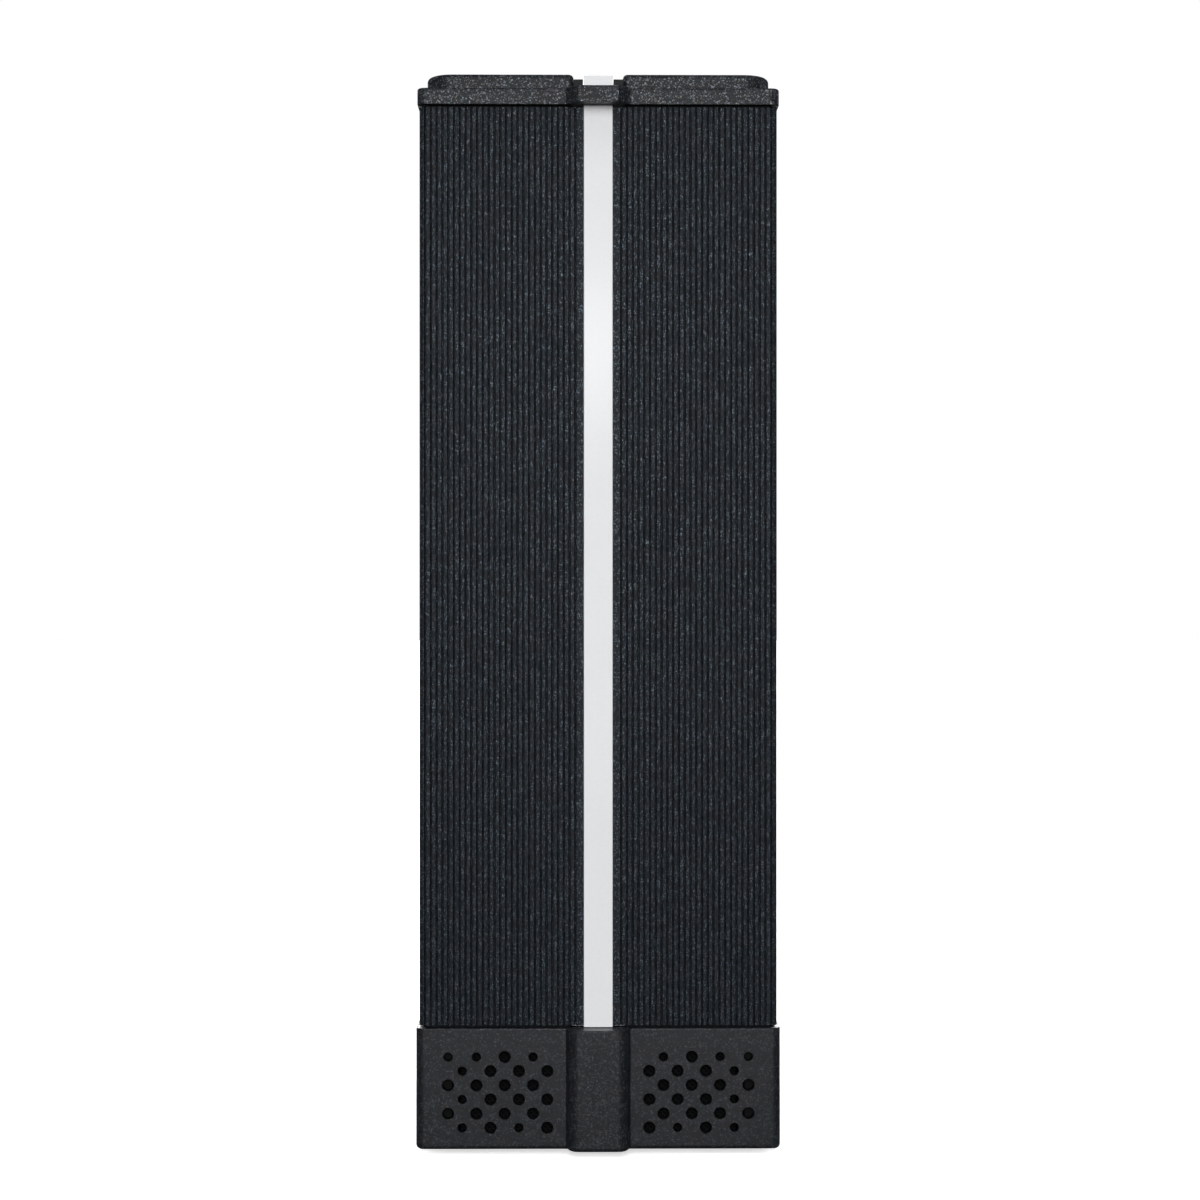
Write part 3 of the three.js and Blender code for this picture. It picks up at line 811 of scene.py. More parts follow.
# Base: the same plastic, glossier and with duller flake than the cap, whose brighter flake is
# painted light; an even charcoal with faint specks.
BASE_ABS = SparkedAbs(
    "sparked_abs_base",
    "121518",
    0.42,
    ior=1.55,
    specular=1.0,
    relief_mm=0.04,
    cool_fleck="6f7b8a",
    warm_fleck="7a7674",
    fleck_share=0.42,
    tone_swing=0.4,
)
# Walls: the same plastic with a matte skin and less flake, cooler and darker than the cap, whose
# brightness is partly painted light.
RIB_ABS = SparkedAbs(
    "matte_ribbed_abs",
    "171b1f",
    0.5,
    specular=0.4,
    cool_fleck="7c90a2",
    warm_fleck="80868a",
    fleck_share=0.36,
    fleck_mm=0.28,
)
# Inner mouldings: plain black ABS off a smooth tool, made darker than the plastic itself as
# painted shade, so the thin gaps under the cap and over the base, and the tray's inside behind the
# holes, stay near black.
INNER_ABS_SHADE_DARKENED = GrainedPlastic("plain_moulded_abs_shade_darkened", "0c0d0e", 0.6, specular=0.3, grain_mm=0.6)
# Bezel and button: ABS with a satin skin, a shade lighter than the cap's slopes.
BEZEL_ABS = GrainedPlastic("bezel_abs", "1b1c1e", 0.5, relief_mm=0.03)
# Light strips: extruded opal acrylic, milky white with a faint gloss and hardly any relief.
OPAL_ACRYLIC = GrainedPlastic(
    "opal_acrylic",
    "f1f2f4",
    0.15,
    ior=1.49,
    specular=0.15,
    relief_mm=0.006,
    tone_swing=0.03,
    gloss_swing=0.04,
)
# Feet and seal: moulded rubber, dead matte.
SOFT_RUBBER = GrainedPlastic("soft_rubber", "0d0d0d", 0.85, ior=1.52, relief_mm=0.03)
# Rods, screws, nuts and shaft: zinc-plated steel, a bright grey with a little bloom.
ZINC_STEEL = GrainedPlastic(
    "zinc_plated_steel", "b4b8bc", 0.32, metallic=1.0, relief_mm=0.004, tone_swing=0.08
)
# Magnets and the socket's pin: nickel plate, warmer and shinier than the zinc.
NICKEL = GrainedPlastic(
    "nickel_plate", "c6c2b8", 0.2, metallic=1.0, relief_mm=0.002, tone_swing=0.04
)
# Boards: green solder mask, whose blotches stand for the copper under it.
SOLDER_MASK = GrainedPlastic(
    "solder_mask_green", "175232", 0.35, grain_mm=2.4, relief_mm=0.04, tone_swing=0.35
)
# Filter: pleated fleece, a soft off-white without any shine.
FLEECE = GrainedPlastic(
    "filter_fleece", "dedddb", 0.95, grain_mm=0.9, relief_mm=0.12, tone_swing=0.06
)
# Inside the filter: activated carbon, black grains with darker joints.
CARBON = Granules("activated_carbon", "1c1c1d", 0.8)
# Behind the holes: woven black nylon, whose openings are painted near-black as the shade of the
# room behind.
DUST_MESH = WovenScreen("nylon_dust_mesh", "121314", 0.9, specular=0.1)
# Leads: extruded wire sheath, a smooth dark grey.
WIRE_SHEATH = GrainedPlastic("wire_sheath", "2f3032", 0.5, relief_mm=0.01)
# Floor: matte paint, as even as paper.
FLOOR_PAINT = GrainedPlastic("pale_floor_paint", "f8f8f8", 0.9, relief_mm=0.0, tone_swing=0.004)

SLOT_FINISH = {
    "textured_black": CAP_ABS_PAINTED_LIGHT,
    "ribbed_black": RIB_ABS,
    "plain_black": INNER_ABS_SHADE_DARKENED,
    "opal_white": OPAL_ACRYLIC,
    "rubber": SOFT_RUBBER,
    "steel": ZINC_STEEL,
    "nickel": NICKEL,
    "circuit_green": SOLDER_MASK,
    "filter_white": FLEECE,
    "carbon_black": CARBON,
    "lead_grey": WIRE_SHEATH,
}


# ---------------------------------------------------------------- sub-assemblies


@dataclass
class PostedSlab:
    """A square slab with round corners, and a post in the middle of its front and of its rear."""

    half: float
    proud: float
    z0: float
    z1: float
    post_half: float = 9.05 * MM
    corner: float = 2.4 * MM
    crest: float = 3.6 * MM
    crest_steps: int = 9
    valley: float = 0.35 * MM

    def build(self, name: str) -> Piece:
        """Models the slab.

        Args:
            name: the piece's name.

        Returns:
            The slab with its upright edges rounded.
        """
        piece = block(name, (-self.half, -self.half, self.z0), (self.half, self.half, self.z1))
        with editing(piece):
            for x in (-self.post_half, self.post_half):
                bpy.ops.mesh.select_all(action="SELECT")
                bpy.ops.mesh.bisect(plane_co=(x, 0, 0), plane_no=(1, 0, 0))
            for sign in (-1, 1):
                pick(
                    "FACE",
                    lambda f: f.normal.y * sign > 0.9 and abs(f.calc_center_median().x) < TINY,
                )
                bpy.ops.mesh.extrude_region_move(
                    TRANSFORM_OT_translate={"value": (0, sign * self.proud, 0)}
                )
            bpy.ops.mesh.select_all(action="SELECT")
            bpy.ops.mesh.dissolve_limited(angle_limit=0.01)
        tip = self.half + self.proud
        round_off(
            piece,
            self.crest,
            self.crest_steps,
            lambda e: stands(e) and abs(abs(middle(e).y) - tip) < TINY,
        )
        round_off(
            piece,
            self.valley,
            2,
            lambda e: stands(e)
            and abs(abs(middle(e).x) - self.post_half) < TINY
            and abs(abs(middle(e).y) - self.half) < TINY,
        )
        round_off(
            piece,
            self.corner,
            8,
            lambda e: stands(e) and abs(abs(middle(e).x) - self.half) < TINY,
        )
        return piece


@dataclass
class Base:
    """The perforated tray under the tower, with ways for the socket and the button."""

    wall: float = 2.3 * MM
    post_wall: float = 2.2 * MM
    post_room: float = 5.0 * MM
    lower_edge: float = 1.25 * MM
    upper_edge: float = 0.35 * MM
    hole_step: float = 4.05 * MM
    first_x: float = 14.6 * MM
    first_z: float = 6.3 * MM
    rows: int = 6
    columns: int = 8
    large: float = 1.68 * MM
    small: float = 1.28 * MM
    flare: float = 0.12 * MM
    # Columns of the small holes, by row from the bottom: all others are large.
    small_holes: dict[int, tuple[int, ...]] = field(
        default_factory=lambda: {0: (2, 6), 2: (6,), 4: (6,), 5: (1, 5, 7)}
    )
    boss: float = 4.8 * MM
    boss_foot: float = 3.1 * MM
    bore: float = 1.8 * MM
    # Height and radius of the socket's way and of the button's.
    rear_ways: tuple[tuple[float, float], ...] = ((15.3 * MM, 4.2 * MM), (27.5 * MM, 4.25 * MM))
    sole_rim: float = 1.1 * MM
    sole_ring: float = 0.3 * MM
    sole_deep: float = 0.35 * MM

    def hole_tool(self, radius: float, half: float) -> Piece:
        """One tool for a hole in the front wall: a bar that flares out at the surface.

        Args:
            radius: the hole's radius.
            half: how far the wall's face is from the middle.

        Returns:
            The tool, at x = 0 and z = 0.
        """
        tool = laid_along_y(
            upright("hole_tool", 0, 0, radius, half - self.wall - MM, half - self.flare, 20)
        )
        with editing(tool):
            pick("FACE", lambda f: f.normal.y < -0.9)
            for outward, grow in ((self.flare, 1 + self.flare / radius), (MM, 1.0)):
                bpy.ops.mesh.extrude_region_move(
                    TRANSFORM_OT_translate={"value": (0, -outward, 0)}
                )
                bpy.ops.transform.resize(value=(grow, 1, grow), center_override=(0, 0, 0))
        return tool

    def holes(self, low: Vector, half: float) -> Piece:
        """The tools for all holes of the four faces.

        Args:
            low: the tray's lowest corner.
            half: half the tray's width.

        Returns:
            One piece with a tool for each hole.
        """
        tools = {r: self.hole_tool(r, half) for r in (self.large, self.small)}
        face = []
        for row in range(self.rows):
            for column in range(row % 2, self.columns, 2):
                radius = self.small if column in self.small_holes.get(row, ()) else self.large
                x = self.first_x + column * self.hole_step
                z = low.z + self.first_z + row * self.hole_step
                for sign in (-1, 1):
                    face.append(moved(twin(tools[radius], "hole_tool"), sign * x, 0, z))
        front = together(face)
        sides = [
            turned(twin(front, "hole_tools"), side.value)
            for side in Side
            if side is not Side.FRONT
        ]
        for tool in tools.values():
            bpy.data.objects.remove(tool, do_unlink=True)
        return together([front, *sides])

    def build(self, finishes: Finishes) -> None:
        """Models the tray and hands it over.

        Args:
            finishes: the materials by slot.
        """
        low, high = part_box("base_housing")
        half, proud = high.x, high.y - high.x
        tray = PostedSlab(half, proud, low.z, high.z).build("base_tray")
        round_off(tray, self.lower_edge, 5, rim_at(low.z))
        round_off(tray, self.upper_edge, 3, rim_at(high.z))
        self.hollow_out(tray, low, high)
        bosses = [
            upright("boss", x, y, self.boss, low.z + self.boss_foot, high.z - 3 * MM)
            for x, y in rod_places()
        ]
        combine(tray, bosses, Cut.ADD)
        bores = [upright("bore", x, y, self.bore, 0, high.z, 16) for x, y in rod_places()]
        combine(tray, bores, Cut.TAKE_AWAY)
        combine(tray, [self.holes(low, half)], Cut.TAKE_AWAY)
        tip = high.y - self.post_wall
        ways = [
            laid_along_y(upright("rear_way", 0, 0, radius, -high.y - MM, -tip + MM, 40))
            for _, radius in self.rear_ways
        ]
        for way, (z, _) in zip(ways, self.rear_ways):
            moved(way, 0, 0, z)
        combine(tray, ways, Cut.TAKE_AWAY)
        hand_over(tray, finishes["base"], Body.HOUSING, "base_housing")
        # Painted shade: the tray's inside faces take the darker inner finish, so the holes look
        # black.
        skin, z0, z1 = half - MM, low.z + 1.3 * MM, high.z - 0.5 * MM
        dress_part(
            tray,
            finishes["plain_black"],
            lambda f: self.in_painted_shade(f.calc_center_median(), skin, z0, z1),
        )
        for corner in Corner:
            self.foot(corner, finishes)

    def hollow_out(self, tray: Piece, low: Vector, high: Vector) -> None:
        """Takes the room out of the tray, and a hollow out of each post.

        Args:
            tray: the solid tray.
            low: its lowest corner.
            high: its highest corner.
        """
        inner, tip = high.x - self.wall, high.y - self.post_wall
        room = rounded_block(
            "room", (-inner, -inner, low.z - MM), (inner, inner, high.z + MM), 1.2 * MM
        )
        overlap, side, top = 0.2 * MM, self.post_room, high.z - self.post_wall
        hollows = [
            block("hollow", (-side, y0, low.z - MM), (side, y1, top))
            for y0, y1 in ((-tip, -inner + overlap), (inner - overlap, tip))
        ]
        combine(tray, [room], Cut.TAKE_AWAY)
        combine(tray, hollows, Cut.TAKE_AWAY)

    def in_painted_shade(self, spot: Vector, skin: float, z0: float, z1: float) -> bool:
        """Whether a spot is deeper than the skin on all four sides and between two heights: the
        tray's inside, which takes painted shade.
        """
        return z0 < spot.z < z1 and max(abs(spot.x), abs(spot.y)) < skin

    def foot(self, corner: Corner, finishes: Finishes) -> None:
        """A rubber foot with a soft edge and a shallow ring in its sole.

        Args:
            corner: where it sits.
            finishes: the materials by slot.
        """
        node = f"foot_{corner.name.lower()}"
        low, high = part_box(node)
        x, y = (low.x + high.x) / 2, (low.y + high.y) / 2
        radius = (high.x - low.x) / 2
        foot = upright(f"{node}_pad", x, y, radius, low.z, high.z, 40)
        round_off(foot, 0.7 * MM, 4, rim_at(low.z))
        with editing(foot):
            pick("FACE", lambda f: f.normal.z < -0.9999)
            bpy.ops.mesh.inset(thickness=self.sole_rim)
            bpy.ops.mesh.inset(thickness=self.sole_ring)
            bpy.ops.transform.translate(value=(0, 0, self.sole_deep))
        hand_over(foot, finishes["rubber"], Body.HOUSING, node)


@dataclass
class Tower:
    """The two ribbed half shells and the light strips between them."""

    # Grooves: their spacing, the first one's place and how many fill half a front, then half
    # their width at the mouth and at the root.
    pitch: float = 1.654 * MM
    first: float = 6.56 * MM
    per_half: int = 27
    groove: float = 0.34 * MM
    root: float = 0.04 * MM
    depth: float = 0.95 * MM
    wall: float = 2.2 * MM
    corner: float = 1.3 * MM
    boss: float = 3.7 * MM
    bore: float = 1.8 * MM
    strip_half: float = 4.15 * MM
    strip_gap: float = 0.06 * MM
    strip_flange: float = 1.3 * MM

    def groove_tools(self, start: float, count: int, face: float, z0: float, z1: float) -> Piece:
        """Tools for a row of grooves in a front face, running to +X.

        Args:
            start: x of the first groove.
            count: how many there are.
            face: how far the face is from the middle.
            z0: the lower end.
            z1: the upper end.

        Returns:
            One piece with all the tools.
        """
        tool = block(
            "groove_tool",
            (start - self.groove, -face - 0.3 * MM, z0 - MM),
            (start + self.groove, -face, z1 + MM),
        )
        with editing(tool):
            pick("FACE", lambda f: f.normal.y > 0.9)
            bpy.ops.mesh.extrude_region_move(TRANSFORM_OT_translate={"value": (0, self.depth, 0)})
            narrow = self.root / self.groove
            bpy.ops.transform.resize(value=(narrow, 1, 1), center_override=(start, 0, 0))
        apply(
            tool,
            "ARRAY",
            count=count,
            use_relative_offset=False,
            use_constant_offset=True,
            constant_offset_displace=(self.pitch, 0, 0),
        )
        return tool

    def build(self, finishes: Finishes) -> None:
        """Models both shells and both strips.

        Args:
            finishes: the materials by slot.
        """
        low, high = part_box("left_shell")
        half = high.y
        edge = -self.strip_half - self.strip_gap
        shell = block("left_ribbed_shell", low, (edge, high.y, high.z))
        round_off(shell, self.corner, 8, lambda e: stands(e) and middle(e).x < low.x + MM)
        inner = half - self.wall
        room = block("room", (-inner, -inner, low.z - MM), (edge + MM, inner, high.z + MM))
        combine(shell, [room], Cut.TAKE_AWAY)
        rods = [(x, y) for x, y in rod_places() if x < 0]
        bosses = [upright("boss", x, y, self.boss, low.z, high.z, 24) for x, y in rods]
        combine(shell, bosses, Cut.ADD)
        bores = [
            upright("bore", x, y, self.bore, low.z - MM, high.z + MM, 16) for x, y in rods
        ]
        combine(shell, bores, Cut.TAKE_AWAY)
        last = self.first + (self.per_half - 1) * self.pitch
        per_side = round(2 * last / self.pitch) + 1
        side_first = -(per_side - 1) * self.pitch / 2
        span = (half, low.z, high.z)
        front = self.groove_tools(-last, self.per_half, *span)
        rear = turned(self.groove_tools(self.first, self.per_half, *span), Side.REAR.value)
        side = turned(self.groove_tools(side_first, per_side, *span), Side.LEFT.value)
        combine(shell, [front, rear], Cut.TAKE_AWAY)
        combine(shell, [side], Cut.TAKE_AWAY)
        other = turned(twin(shell, "right_ribbed_shell"), 180)
        for piece, node in ((shell, "left_shell"), (other, "right_shell")):
            hand_over(
                piece, finishes["ribbed_black"], Body.HOUSING, node, degrees=25
            )
        self.strips(finishes)

    def strips(self, finishes: Finishes) -> None:
        """Models the opal strips, each with a flange behind the shells' edges.

        Args:
            finishes: the materials by slot.
        """
        low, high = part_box("front_light_strip")
        half = self.strip_half
        back = high.y - self.strip_flange
        strip = block("front_opal_strip", (-half, low.y, low.z), (half, back, high.z))
        round_off(strip, 0.25 * MM, 3, lambda e: stands(e) and middle(e).y < low.y + TINY)
        flange = block("flange", (low.x, back - 0.05 * MM, low.z), (high.x, high.y, high.z))
        combine(strip, [flange], Cut.ADD)
        other = turned(twin(strip, "rear_opal_strip"), 180)
        for piece, node in ((strip, "front_light_strip"), (other, "rear_light_strip")):
            hand_over(piece, finishes["opal_white"], Body.HOUSING, node)


@dataclass
class Cap:
    """The lift-off cap: slab with bridges, outlet pads, bezel and the light bar over the top."""

    thick: float = 4.8 * MM
    crest: float = 3.3 * MM
    channel: float = 7.0 * MM
    channel_deep: float = 2.4 * MM
    channel_end: float = 0.4 * MM
    leg_way: float = 4.5 * MM
    leg_from: float = 46.5 * MM
    window_y: float = 40.8 * MM
    window_x0: float = 10.4 * MM
    window_x1: float = 40.8 * MM
    window_corner: float = 4.0 * MM
    skirt_half: float = 43.2 * MM
    skirt_wall: float = 1.8 * MM
    skirt_corner: float = 5.8 * MM
    pocket: float = 3.5 * MM
    pocket_deep: float = 4.1 * MM
    pad_corner: float = 7.3 * MM
    pad_inner_corner: float = 1.5 * MM
    pad_edge: float = 1.2 * MM
    pad_roof: float = 1.8 * MM
    slots: int = 15
    slot_pitch: float = 5.4 * MM
    slot_half: float = 1.4 * MM
    slot_x0: float = 11.2 * MM
    slot_x1: float = 40.0 * MM
    bar_seat: float = 1.2 * MM
    bar_leg: float = 2.3 * MM
    bezel_half: float = 7.15 * MM
    trough: float = 4.4 * MM
    trough_end: float = 46.7 * MM

    def slab(self, finishes: Finishes) -> None:
        """Models the slab with its skirt, air windows, channel and pockets.

        Args:
            finishes: the materials by slot.
        """
        low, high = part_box("cap_plate")
        half, proud = high.x, high.y - high.x
        bottom = high.z - self.thick
        shape = PostedSlab(half, proud, bottom, high.z, crest=self.crest, crest_steps=1)
        slab = shape.build("cap_slab")
        round_off(slab, 0.6 * MM, 4, rim_at(high.z))
        round_off(slab, 0.25 * MM, 2, rim_at(bottom))
        skirt = rounded_block(
            "skirt",
            (-self.skirt_half, -self.skirt_half, low.z),
            (self.skirt_half, self.skirt_half, bottom + MM),
            self.skirt_corner,
        )
        combine(slab, [skirt], Cut.ADD)
        inside = self.skirt_half - self.skirt_wall
        hollow = rounded_block(
            "hollow",
            (-inside, -inside, low.z - MM),
            (inside, inside, bottom),
            4.2 * MM,
        )
        combine(slab, [hollow], Cut.TAKE_AWAY)
        reach = half - self.channel_end
        windows = [
            rounded_block(
                "window",
                (x0, -self.window_y, bottom - 0.5 * MM),
                (x1, self.window_y, high.z + MM),
                self.window_corner,
            )
            for x0, x1 in (
                (self.window_x0, self.window_x1),
                (-self.window_x1, -self.window_x0),
            )
        ]
        combine(slab, windows, Cut.TAKE_AWAY)
        channel = block(
            "channel",
            (-self.channel, -reach, high.z - self.channel_deep),
            (self.channel, reach, high.z + MM),
        )
        combine(slab, [channel], Cut.TAKE_AWAY)
        legs = [
            block("leg_way", (-self.leg_way, y0, bottom - MM), (self.leg_way, y1, high.z - MM))
            for y0, y1 in ((-reach, -self.leg_from), (self.leg_from, reach))
        ]
        pockets = [
            upright("pocket", x, y, self.pocket, bottom - MM, bottom + self.pocket_deep, 24)
            for x, y in rod_places()
        ]
        combine(slab, legs + pockets, Cut.TAKE_AWAY)
        hand_over(slab, finishes["textured_black"], Body.CAP, "cap_plate")

    def pads(self, finishes: Finishes) -> None:
        """Models the raised outlet pads, which have round outer corners and slots across.

        Args:
            finishes: the materials by slot.
        """
        low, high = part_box("right_outlet_grille")
        pad = block("right_outlet_pad", low, high)
        round_off(pad, self.pad_corner, 12, lambda e: stands(e) and middle(e).x > high.x - MM)
        round_off(
            pad, self.pad_inner_corner, 6, lambda e: stands(e) and middle(e).x < low.x + TINY
        )
        round_off(pad, self.pad_edge, 6, rim_at(high.z))
        pocket = rounded_block(
            "pocket",
            (self.window_x0, -self.window_y, low.z - MM),
            (self.window_x1, self.window_y, high.z - self.pad_roof),
            self.window_corner,
        )
        combine(pad, [pocket], Cut.TAKE_AWAY)
        slots = []
        for i in range(self.slots):
            y = (i - (self.slots - 1) / 2) * self.slot_pitch
            slots.append(
                rounded_block(
                    "slot",
                    (self.slot_x0, y - self.slot_half, high.z - 3 * MM),
                    (self.slot_x1, y + self.slot_half, high.z + MM),
                    self.slot_half - 0.05 * MM,
                    5,
                )
            )
        combine(pad, slots, Cut.TAKE_AWAY)
        other = turned(twin(pad, "left_outlet_pad"), 180)
        for piece, node in ((pad, "right_outlet_grille"), (other, "left_outlet_grille")):
            hand_over(piece, finishes["textured_black"], Body.CAP, node)

    def light_bar(self, finishes: Finishes) -> None:
        """Models the opal bar, with legs down to the strips.

        Args:
            finishes: the materials by slot.
        """
        low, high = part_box("top_light_bar")
        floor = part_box("light_bar_bezel")[0].z + self.bar_seat
        bar = block("top_opal_bar", (low.x, low.y, floor), (high.x, high.y, high.z))
        round_off(bar, 0.45 * MM, 4, rim_at(high.z))
        legs = [
            block("leg", (low.x, y0, low.z), (high.x, y1, floor + 0.4 * MM))
            for y0, y1 in ((low.y, low.y + self.bar_leg), (high.y - self.bar_leg, high.y))
        ]
        combine(bar, legs, Cut.ADD)
        hand_over(bar, finishes["opal_white"], Body.CAP, "top_light_bar")

    def bezel(self, finishes: Finishes) -> None:
        """Models the trough that holds the bar, open at both ends for the bar's legs.

        Args:
            finishes: the materials by slot.
        """
        low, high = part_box("light_bar_bezel")
        reach = Vector((self.bezel_half - high.x, 0, 0))
        bezel = block("bar_bezel", low - reach, high + reach)
        round_off(bezel, 0.3 * MM, 3, rim_at(high.z))
        side = self.trough
        trough = block(
            "trough", (-side, low.y - MM, low.z + MM), (side, high.y + MM, high.z + MM)
        )
        ends = [
            block("end_way", (-side, y0, low.z - MM), (side, y1, low.z + 2 * MM))
            for y0, y1 in ((low.y - MM, -self.trough_end), (self.trough_end, high.y + MM))
        ]
        combine(bezel, [trough], Cut.TAKE_AWAY)
        combine(bezel, ends, Cut.TAKE_AWAY)
        hand_over(bezel, finishes["bezel"], Body.CAP, "light_bar_bezel")

    def build(self, finishes: Finishes) -> None:
        """Models the whole cap.

        Args:
            finishes: the materials by slot.
        """
        self.slab(finishes)
        self.pads(finishes)
        self.light_bar(finishes)
        self.bezel(finishes)


@dataclass
class Button:
    """The round push button of the rear post."""

    radius: float = 4.0 * MM
    edge: float = 0.45 * MM
    rim: float = 0.5 * MM
    slope: float = 1.6 * MM
    dish: float = 0.35 * MM
    flange: float = 4.7 * MM

    def build(self, finishes: Finishes) -> None:
        """Models the button with a soft rim and a dished face.

        Args:
            finishes: the materials by slot.
        """
        low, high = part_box("power_button")
        z = (low.z + high.z) / 2
        button = laid_along_y(upright("power_button_cap", 0, 0, self.radius, low.y, high.y, 40))
        turned(button, 180)
        round_off(
            button,
            self.edge,
            4,
            lambda e: all(abs(v.co.y - high.y) < TINY for v in e.verts)
            and e.calc_face_angle(0) > SHARP,
        )
        with editing(button):
            pick("FACE", lambda f: f.normal.y > 0.9)
            bpy.ops.mesh.inset(thickness=self.rim)
            bpy.ops.mesh.inset(thickness=self.slope)
            bpy.ops.transform.translate(value=(0, -self.dish, 0))
        y0, y1 = low.y + 0.4 * MM, high.y - 2.2 * MM
        flange = laid_along_y(upright("flange", 0, 0, self.flange, y0, y1, 40))
        turned(flange, 180)
        combine(button, [flange], Cut.ADD)
        moved(button, 0, 0, z)
        hand_over(button, finishes["bezel"], Body.BUTTON, "power_button")


@dataclass
class Socket:
    """The low-voltage socket behind the rear post: a square body, a mouth and a bright pin."""

    mouth: float = 3.3 * MM
    deep: float = 8.5 * MM
    pin: float = 1.0 * MM
    pin_back: float = 1.0 * MM

    def along_y(self, name: str, radius: float, y0: float, y1: float) -> Piece:
        """A round bar on the Y axis between two places."""
        return laid_along_y(upright(name, 0, 0, radius, -y1, -y0, 32))

    def build(self, finishes: Finishes) -> None:
        """Models the socket as one piece, with nickel on its pin.

        Args:
            finishes: the materials by slot.
        """
        low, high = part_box("dc_jack")
        z = (low.z + high.z) / 2
        body = block("low_voltage_socket", low, high)
        round_off(body, 0.3 * MM, 2, lambda e: abs(middle(e).y - high.y) > TINY)
        floor, tip = high.y - self.deep, high.y - self.pin_back
        mouth = moved(self.along_y("mouth", self.mouth, floor, high.y + MM), 0, 0, z)
        combine(body, [mouth], Cut.TAKE_AWAY)
        pin = moved(self.along_y("pin", self.pin, floor - 0.5 * MM, tip), 0, 0, z)
        round_off(pin, 0.35 * MM, 3, lambda e: all(v.co.y > tip - TINY for v in e.verts))
        combine(body, [pin], Cut.ADD)
        hand_over(body, finishes["plain_black"], Body.HOUSING, "dc_jack")
        reach = self.pin + 0.1 * MM
        dress_part(
            body,
            finishes["nickel"],
            lambda f: all(self.on_pin(v.co, z, reach) for v in f.verts),
        )

    def on_pin(self, spot: Vector, z: float, reach: float) -> bool:
        """Whether a spot is within reach of the pin's axis."""
        return math.hypot(spot.x, spot.z - z) < reach


@dataclass
class TopFrame:
    """The frame on top of the shells, and the socket heads of the four rods that hold it down."""

    opening: float = 43.6 * MM
    opening_corner: float = 6.0 * MM
    collar: float = 48.6 * MM
    collar_clip: float = 11.9 * MM
    notch: float = 7.9 * MM
    notch_from: float = 47.2 * MM
    shank: float = 1.5 * MM
    bore: float = 1.7 * MM
    head_deep: float = 1.5 * MM
    key: float = 1.45 * MM
    key_deep: float = 0.9 * MM

    def build(self, finishes: Finishes) -> None:
        """Models the frame, then the rods.

        Args:
            finishes: the materials by slot.
        """
        low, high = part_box("top_frame")
        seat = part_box("left_shell")[1].z + 0.03 * MM
        frame_piece = rounded_block("top_rim_frame", (low.x, low.y, seat), high, 1.5 * MM)
        round_off(frame_piece, 0.25 * MM, 3, rim_at(high.z))
        side, joint = self.collar, seat + 0.1 * MM
        collar = rounded_block(
            "collar", (-side, -side, low.z), (side, side, joint), self.collar_clip, 1
        )
        combine(frame_piece, [collar], Cut.ADD)
        way = self.opening
        opening = rounded_block(
            "opening", (-way, -way, low.z - MM), (way, way, high.z + MM), self.opening_corner
        )
        combine(frame_piece, [opening], Cut.TAKE_AWAY)
        cuts = [
            block("notch", (-self.notch, y0, low.z - MM), (self.notch, y1, high.z + MM))
            for y0, y1 in ((low.y - MM, -self.notch_from), (self.notch_from, high.y + MM))
        ]
        cuts += [
            upright("bore", x, y, self.bore, low.z - MM, high.z + MM, 20)
            for x, y in rod_places()
        ]
        combine(frame_piece, cuts, Cut.TAKE_AWAY)
        hand_over(
            frame_piece, finishes["plain_black"], Body.HOUSING, "top_frame"
        )
        for corner in Corner:
            self.rod(corner, finishes)

    def rod(self, corner: Corner, finishes: Finishes) -> None:
        """A rod with a round head and a six-sided key socket in it.

        Args:
            corner: where it stands.
            finishes: the materials by slot.
        """
        node = f"tie_rod_{corner.name.lower()}"
        low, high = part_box(node)
        x, y = (low.x + high.x) / 2, (low.y + high.y) / 2
        under = high.z - self.head_deep
        rod = upright(f"{node}_socket_head", x, y, (high.x - low.x) / 2, under, high.z, 32)
        round_off(rod, 0.35 * MM, 3, rim_at(high.z))
        shank = upright("shank", x, y, self.shank, low.z, under + 0.2 * MM, 20)
        combine(rod, [shank], Cut.ADD)
        key = upright("key", x, y, self.key, high.z - self.key_deep, high.z + MM, 6)
        combine(rod, [key], Cut.TAKE_AWAY)
        hand_over(rod, finishes["steel"], Body.HOUSING, node)


